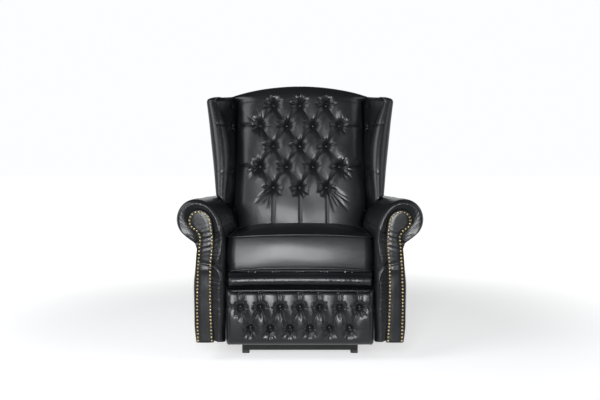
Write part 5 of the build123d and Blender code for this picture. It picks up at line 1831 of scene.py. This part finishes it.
def point_object(name, places, ways):
    """Loose points, each with the way that its button faces."""
    mesh = bpy.data.meshes.new(name)
    mesh.from_pydata([tuple(place) for place in places], [], [])
    attribute = mesh.attributes.new("way", "FLOAT_VECTOR", "POINT")
    attribute.data.foreach_set("vector", np.array(ways, np.float32).ravel())
    return add_object(name, mesh)


# %% [markdown]
# ### The nails and the back's buttons
#
# Both arms' lines of nails go through one tree, and so do all the buttons of the back, with those
# of the wings turned to their own faces.

# %% The nails
nail_y = FACING_FRONT_Y + 0.0022
nail_lines = [
    np.stack([sign * nail_line[:, 0], np.full(len(nail_line), nail_y), nail_line[:, 1]], axis=1)
    for sign in (1, -1)
]
nail_sizes = {"Count": NAIL_COUNT, "Radius": NAIL_RADIUS, "Rise": NAIL_RISE}
nails = grown("brass_nails", line_object("nail_lines", nail_lines), nail_tree(brass), nail_sizes)
finish(nails, "base", brass, ["nailheads"])
print("nail faces", len(nails.data.polygons))

# %% The back's buttons
BUTTON_SEAT = TUFT_DEPTH - 0.0045
button_places = [leaning(x, BACK_FACE + BUTTON_SEAT, w) for x, w in BACK_BUTTONS]
forwards = leaning(0.0, -1.0, 0.0) - leaning(0.0, 0.0, 0.0)
button_ways = [forwards] * len(button_places)
for place, way in wing_button_seats():
    for sign in (1, -1):
        flip = np.array([sign, 1, 1])
        button_places.append(place * flip)
        button_ways.append(way * flip)
buttons = grown(
    "back_button_covers", point_object("back_spots", button_places, button_ways),
    button_tree(tight_leather), {"Radius": BUTTON_RADIUS, "Rise": BUTTON_RISE},
)
finish(buttons, "back", tight_leather, ["back_buttons"])
print("buttons", len(button_places))

# %% [markdown]
# ## The seat cushion
#
# The cushion is a box of leather over foam: a band between two piped seams, a crowned top and a
# flat bottom.  Its middle stands a little higher than its ends, as the seams show.  Cloth with air
# pressure in it could give the fullness; here the form is a stack of rounded rectangles whose
# insets follow the bulge of the band and the crown of the top, which keeps the seams where the
# piping lies.

# %% The cushion's measures
CUSHION_HALF = 0.2795
CUSHION_FRONT_Y = -0.424
SEAM_LOW_Z, SEAM_HIGH_Z = 0.340, 0.462
CUSHION_BOTTOM_Z = 0.3425
CUSHION_CROWN = 0.024
CUSHION_BOW = 0.012
CUSHION_SLOPE = 0.023
CUSHION_FRONT_BOW = 0.009
CUSHION_CORNER = 0.034
CUSHION_SEAM_INSET = 0.006
CUSHION_PULL = 0.004
BAND_BULGE = 0.0068
BACK_OVERLAP = 0.040
CORNER_POINTS = 12
LOOP_POINTS = 480
SEAT_PIPING_RADIUS = 0.0036
SEAT_PIPINGS = ((SEAM_LOW_Z, 0.0036), (SEAM_HIGH_Z + 0.001, 0.0040))


def cushion_rear(z):
    """y of the cushion's rear, tucked under the face of the back."""
    return BACK_FOOT_Y + (z - BACK_FOOT_Z) * math.tan(BACK_LEAN) - BACK_OVERLAP


def rounded_rectangle(half, front, rear, corner, pull):
    """A closed loop with round corners and drawn-in sides, as (x, y)."""
    middle, reach = (front + rear) / 2, (rear - front) / 2
    corner = min(corner, 0.98 * half, 0.98 * reach)
    corners = []
    for cx, cy, start in (
        (half - corner, reach - corner, 0), (corner - half, reach - corner, 90),
        (corner - half, corner - reach, 180), (half - corner, corner - reach, 270),
    ):
        angles = np.radians(np.linspace(start, start + 90, CORNER_POINTS))
        corners.append(np.stack([cx + corner * np.cos(angles), cy + corner * np.sin(angles)], 1))
    loop = np.vstack(corners + [corners[0][:1]])
    loop = along(loop, np.linspace(0, 1, LOOP_POINTS, endpoint=False))
    x_share, y_share = loop[:, 0] / half, loop[:, 1] / reach
    near_side = smooth_step(np.abs(x_share), 0.8, 1.0) * (1 - y_share**2)
    near_end = smooth_step(np.abs(y_share), 0.8, 1.0) * (1 - x_share**2)
    loop[:, 0] -= np.sign(x_share) * pull * near_side
    loop[:, 1] -= np.sign(y_share) * pull * near_end
    loop[:, 1] += middle
    return loop


def bow(x):
    """How much higher a seam stands at x than at the ends."""
    return CUSHION_BOW * (1 - np.clip(np.abs(x) / CUSHION_HALF, 0, 1) ** 2.2)


def cushion_loop(z, inset, pull=CUSHION_PULL, lift=1.0):
    """The cushion's outline at a height, drawn in by an inset."""
    loop = rounded_rectangle(
        CUSHION_HALF - inset, CUSHION_FRONT_Y + inset, cushion_rear(z) - inset,
        max(CUSHION_CORNER - 0.3 * inset, 0.012), pull,
    )
    set_back = CUSHION_SLOPE * np.clip((z - SEAM_LOW_Z) / (SEAM_HIGH_Z - SEAM_LOW_Z), 0, 1)
    set_back = set_back + CUSHION_FRONT_BOW * (loop[:, 0] / CUSHION_HALF) ** 2
    set_back = set_back + 0.0008 * smooth_noise(loop[:, 0], np.full(len(loop), z), 0.20, 61, 1)
    y = loop[:, 1] + set_back * smooth_step(loop[:, 1], -0.20, CUSHION_FRONT_Y + 0.03)
    return np.stack([loop[:, 0], y, z + lift * bow(loop[:, 0])], axis=1)


print("cushion", round(2 * CUSHION_HALF, 3), "m wide, seams at", SEAM_LOW_Z, SEAM_HIGH_Z)

# %% [markdown]
# ### The cushion and its piping
#
# From below upwards: the flat bottom, the band that bulges between its seams, and the top that
# rises to its crown.  The piping is a tube along the same outline at the height of each seam.

# %% The cushion and its piping


def make_cushion():
    rows = []
    for share in (0.12, 0.35, 0.6, 0.8, 0.95):
        rows.append(cushion_loop(CUSHION_BOTTOM_Z, 0.215 * (1 - share) + 0.008, lift=0.0))
    rows.append(cushion_loop(CUSHION_BOTTOM_Z + 0.002, 0.0075, lift=0.1))
    for share in np.linspace(0, 1, 25):
        z = SEAM_LOW_Z + share * (SEAM_HIGH_Z - SEAM_LOW_Z)
        bulge = BAND_BULGE * math.sin(math.pi * share) ** 0.8
        rows.append(cushion_loop(z, CUSHION_SEAM_INSET - bulge))
    for share in np.linspace(0, 1, 22)[1:]:
        z = SEAM_HIGH_Z + CUSHION_CROWN * (1 - (1 - share) ** 2.6)
        rows.append(cushion_loop(z, CUSHION_SEAM_INSET + 0.225 * share, CUSHION_PULL * (1 - share)))
    return np.stack(rows)


cushion = ring_object("seat_cushion_leather", make_cushion())
finish(cushion, "seat", leather, ["seat_cushion"])

seat_piping = joined("seat_piping_leather", [
    tube("piping", cushion_loop(z, inset), SEAT_PIPING_RADIUS, closed=True)
    for z, inset in SEAT_PIPINGS
])
finish(seat_piping, "seat", tight_leather, ["seat_piping"])
print("cushion faces", len(cushion.data.polygons), "piping", len(seat_piping.data.polygons))

# %% [markdown]
# ## The padded bar under the cushion
#
# A roll of leather covers the front rail of the seat.  Like the cushion it stands a little higher
# in the middle.  It could be a bent cylinder, but a swept section also gives the flat strips above
# and below the roll, and round ends.

# %% The padded bar
BORDER_HALF = 0.272
BORDER_END = 0.010
BORDER_ROLL_Z = (0.2815, 0.3215)
BORDER_FLAT_Z = (0.2740, 0.3335)
BORDER_FRONT_Y = -0.4335
BORDER_FLAT_Y = -0.4065
BORDER_REAR_Y = -0.392
BORDER_BOW = 0.004
BORDER_POINTS = 160


def border_section(x):
    """The outline (y, z) of the rail's leather at x: a roll between two flat strips."""
    inside = (BORDER_HALF - abs(x)) / BORDER_END
    size = 0.35 + 0.65 * math.sqrt(max(0.0, 1 - max(0.0, 1 - inside) ** 2))
    turn = np.linspace(-math.pi / 2, math.pi / 2, 28)
    low, high = BORDER_ROLL_Z
    strain = 0.0005 * smooth_noise(np.array([x]), np.array([0.0]), 0.06, 71)[0]
    deep = (BORDER_FLAT_Y - BORDER_FRONT_Y + strain) * size
    y = BORDER_FLAT_Y - deep * np.cos(turn) ** 0.62
    z = (low + high) / 2 + (high - low) / 2 * size * np.sin(turn)
    z = z + BORDER_BOW * (1 - (x / BORDER_HALF) ** 2)
    below = [(BORDER_REAR_Y, BORDER_FLAT_Z[0]), (BORDER_FLAT_Y, BORDER_FLAT_Z[0])]
    above = [(BORDER_FLAT_Y, BORDER_FLAT_Z[1]), (BORDER_REAR_Y, BORDER_FLAT_Z[1])]
    return np.vstack([below, np.stack([y, z], axis=1), above])


def make_border():
    ends = BORDER_END * (1 - np.cos(np.linspace(0, math.pi / 2, 7)))
    inner_half = BORDER_HALF - BORDER_END
    middle = np.linspace(-inner_half, inner_half, BORDER_POINTS)[1:-1]
    rows = []
    for x in np.concatenate([ends - BORDER_HALF, middle, (BORDER_HALF - ends)[::-1]]):
        section = border_section(x)
        rows.append(np.column_stack([np.full(len(section), x), section]))
    return np.stack(rows)


border = ring_object("front_border_leather", make_border())
finish(border, "seat", leather, ["front_border"])
print("bar faces", len(border.data.polygons))

# %% [markdown]
# ## The footrest
#
# Thirteen buttons in two rows, seven over six.  Short double pleats run up from the upper row to
# the piping, folds in a V join the rows, and the leather fans out below the lower row.  The pad is
# made as the back is, with a finer grid, because its folds are smaller.

# %% Pleats and puckers of the footrest
FOOTREST_HALF = 0.2772
FOOTREST_Z = (0.064, 0.271)
FOOT_PITCH = 0.0742
FOOT_ROWS_Z = (0.2075, 0.1306)
FOOT_TUFT = 0.026
FOOT_FUNNEL = {"reach": 0.034, "sag": 1.5}
V_PLEAT = {"depth": 0.019, "middle": 0.5, "width": 0.0050}
UP_PLEAT = {"depth": 0.012, "middle": 0.6, "width": 0.0060}
DOUBLE_PLEAT = {"depth": 0.0120, "middle": 0.55, "width": 0.0018}
DOWN_PLEAT = {"depth": 0.013, "width": 0.0085, "taper": True}
END_PLEAT = {"depth": 0.012, "middle": 0.5, "width": 0.005}
DOWN_PLEAT_LENGTH = 0.048
DOUBLE_PLEAT_SIDES = ((-0.0055, 0.0), (0.0055, 0.002))
FOOT_PUCKER_WIDTH = 0.0032
FOOT_PUCKER_GAIN = 1.5
FOOT_FAN = {"depth": 0.0066, "width": 0.0050}
FOOT_ROWS = button_rows((6, 5), FOOT_PITCH, FOOT_ROWS_Z)


def footrest_depths(x, z):
    """Funnels and pleats of the footrest, one array each."""
    upper, lower = FOOT_ROWS
    depths = [funnel(x, z, place, FOOT_TUFT, **FOOT_FUNNEL) for place in upper + lower]
    for a, b in neighbours(FOOT_ROWS, FOOT_PITCH):
        depths.append(pleat(x, z, a, b, **V_PLEAT))
    for place in upper:
        above = (place[0], FOOTREST_Z[1] - 0.004)
        depths.append(pleat(x, z, place, above, **UP_PLEAT))
        for side, lift in DOUBLE_PLEAT_SIDES:
            foot = (place[0] + side * 0.6, place[1] + 0.004)
            top = (place[0] + side * 1.25, FOOTREST_Z[1] - 0.012 + lift)
            depths.append(pleat(x, z, foot, top, **DOUBLE_PLEAT))
    for place in lower:
        below = (place[0], place[1] - DOWN_PLEAT_LENGTH)
        depths.append(pleat(x, z, place, below, **DOWN_PLEAT))
    for place, sign in ((upper[0], -1), (upper[-1], 1)):
        side = (sign * (FOOTREST_HALF - 0.006), place[1])
        depths.append(pleat(x, z, place, side, **END_PLEAT))
    return depths


def footrest_fans():
    """Fine puckers round each button, and longer folds below both rows."""
    fans = []
    for index, place in enumerate(FOOT_ROWS[0]):
        fans.append((fan(place, 0, 360, 13, 0.030, 100 + index), 0.0012))
        fans.append((fan(place, 235, 305, 4, 0.048, 130 + index), 0.0040))
    for index, place in enumerate(FOOT_ROWS[1]):
        fans.append((fan(place, 0, 360, 12, 0.028, 150 + index), 0.0008))
    fans = [(runs, FOOT_PUCKER_GAIN * depth, FOOT_PUCKER_WIDTH) for runs, depth in fans]
    for index, place in enumerate(FOOT_ROWS[1]):
        runs = fan(place, 225, 315, 4, 0.064, 170 + index)
        fans.append((runs, FOOT_FAN["depth"], FOOT_FAN["width"]))
    return fans


print("footrest fans", len(footrest_fans()))

# %% [markdown]
# ### The footrest's pad, buttons and piping
#
# The pad wraps its board: the lower corners are round, the face leans back a little towards the
# top, and a piping edges the top.

# %% The footrest's pad, buttons and piping
FOOTREST_FACE_Y = -0.4545
FOOTREST_SEAM_Y = -0.3763
FOOTREST_CORNER = 0.017
FOOT_EDGE = 0.030
FOOT_SIDE_ROUND = 0.022
FOOT_LOW_ROUND = 0.034
FOOT_CROWN = 0.015
FOOT_CROWN_Z = 0.125
FOOT_STEP = 0.0015
FOOT_BUTTON = {"Radius": 0.0075, "Rise": 0.0050}
FOOT_BUTTON_SEAT = FOOT_TUFT - 0.0040
UPPER_BUTTON_SINK = 0.005
FOOT_PIPING_HALF = 0.262
FOOT_PIPING_Y, FOOT_PIPING_Z = -0.4420, 0.2695
FOOT_PIPING_RADIUS = 0.0043


def make_footrest():
    """The footrest's pad, wrapped over its board."""
    columns = int(2 * FOOTREST_HALF / FOOT_STEP)
    rows = int((FOOTREST_Z[1] - FOOTREST_Z[0]) / FOOT_STEP)
    low, high = FOOTREST_Z
    z = np.linspace(low, high, rows)[:, None]
    s = np.linspace(-1, 1, columns)[None, :]
    corner = FOOTREST_CORNER
    under = np.clip(low + corner - z, 0, corner)
    half = FOOTREST_HALF - corner + np.sqrt(corner**2 - under**2)
    x = s * half
    side = rounded_drop(FOOTREST_HALF - np.abs(x), FOOT_SIDE_ROUND)
    top = rounded_drop(high - z, FOOT_SIDE_ROUND)
    foot = rounded_drop(z - low, FOOT_LOW_ROUND)
    edge = 1 - (1 - side) * (1 - top) * (1 - foot)
    depth = soft_maximum(footrest_depths(x, z)) + puckers(x, z, footrest_fans())
    depth += 0.0006 * smooth_noise(x, z, 0.12, 81, octaves=1)
    depth += FOOT_CROWN * ((z - FOOT_CROWN_Z) / (high - FOOT_CROWN_Z)) ** 2
    y = FOOTREST_FACE_Y + edge * FOOT_EDGE + (1 - edge) ** 0.7 * depth
    face = np.stack(np.broadcast_arrays(x, y, z), axis=-1)
    rear = face.copy()
    rear[..., 1] = FOOTREST_SEAM_Y
    return closed_pad("footrest_leather", face, rear)


footrest = make_footrest()
finish(footrest, "footrest", leather, ["footrest_pad"])
print("footrest faces", len(footrest.data.polygons))

foot_places = [
    (x, FOOTREST_FACE_Y + FOOT_BUTTON_SEAT + UPPER_BUTTON_SINK * (row is FOOT_ROWS[0]), z)
    for row in FOOT_ROWS for x, z in row
]
foot_spots = point_object("foot_spots", foot_places, [(0, -1, 0)] * len(foot_places))
foot_buttons = grown(
    "footrest_button_covers", foot_spots, button_tree(tight_leather), FOOT_BUTTON
)
finish(foot_buttons, "footrest", tight_leather, ["footrest_buttons"])

piping_x = np.linspace(-FOOT_PIPING_HALF, FOOT_PIPING_HALF, 140)
piping_z = FOOT_PIPING_Z + 0.002 * (1 - (piping_x / FOOT_PIPING_HALF) ** 2)
end_drop = 0.012 * smooth_step(np.abs(piping_x), 0.245, FOOT_PIPING_HALF) ** 2
foot_line = np.stack([piping_x, FOOT_PIPING_Y + end_drop, piping_z], axis=1)
foot_piping = tube("footrest_piping_leather", foot_line, FOOT_PIPING_RADIUS)
finish(foot_piping, "footrest", tight_leather, ["footrest_piping"])
print("footrest buttons", len(foot_places), "piping faces", len(foot_piping.data.polygons))

# %% [markdown]
# ## The pieces that keep their own shape
#
# Steel, timber, cloth and plastic arrive in their true shape and only need a finish.  They could be
# modelled again, but their holes and edges are right already.  The timber that shows in the gap
# beside the seat when the chair reclines is near black: partly the stain a maker gives it, and
# partly painted shade, so that the gap reads dark.

# %% Finishes for steel, timber and cloth
NODE_FINISHES = {
    painted_steel: "base_side_plate_left base_side_plate_right base_tubes",
    plated_steel: (
        "front_swing_links rear_swing_links seat_side_plate_left seat_side_plate_right "
        "back_bracket_left back_bracket_right rear_leg_link_left rear_leg_link_right "
        "front_leg_link_left front_leg_link_right upper_leg_link_left upper_leg_link_right "
        "lower_leg_link_left lower_leg_link_right footrest_bracket_left footrest_bracket_right "
        "leg_cross_tube"
    ),
    pin_steel: (
        "base_pivot_pins seat_pivot_pins rear_leg_pins upper_leg_pins footrest_pins frame_bolts "
        "spring_clips"
    ),
    spring_steel: "seat_springs",
    plastic: "glide_feet",
    timber: "arm_frames back_frame",
    # Near-black timber: partly a maker's stain, partly painted shade where the gap by the seat is
    # dark.
    stain_and_shade_timber: "rear_apron seat_frame footrest_board",
    plywood: "wing_boards",
    deck_cloth: "seat_deck",
    webbing: "back_webbing",
    foam: "seat_core",
}
for material, names in NODE_FINISHES.items():
    for name in names.split():
        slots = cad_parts[name].data.materials
        slots.clear()
        slots.append(material)
print("finished nodes", sum(len(names.split()) for names in NODE_FINISHES.values()))
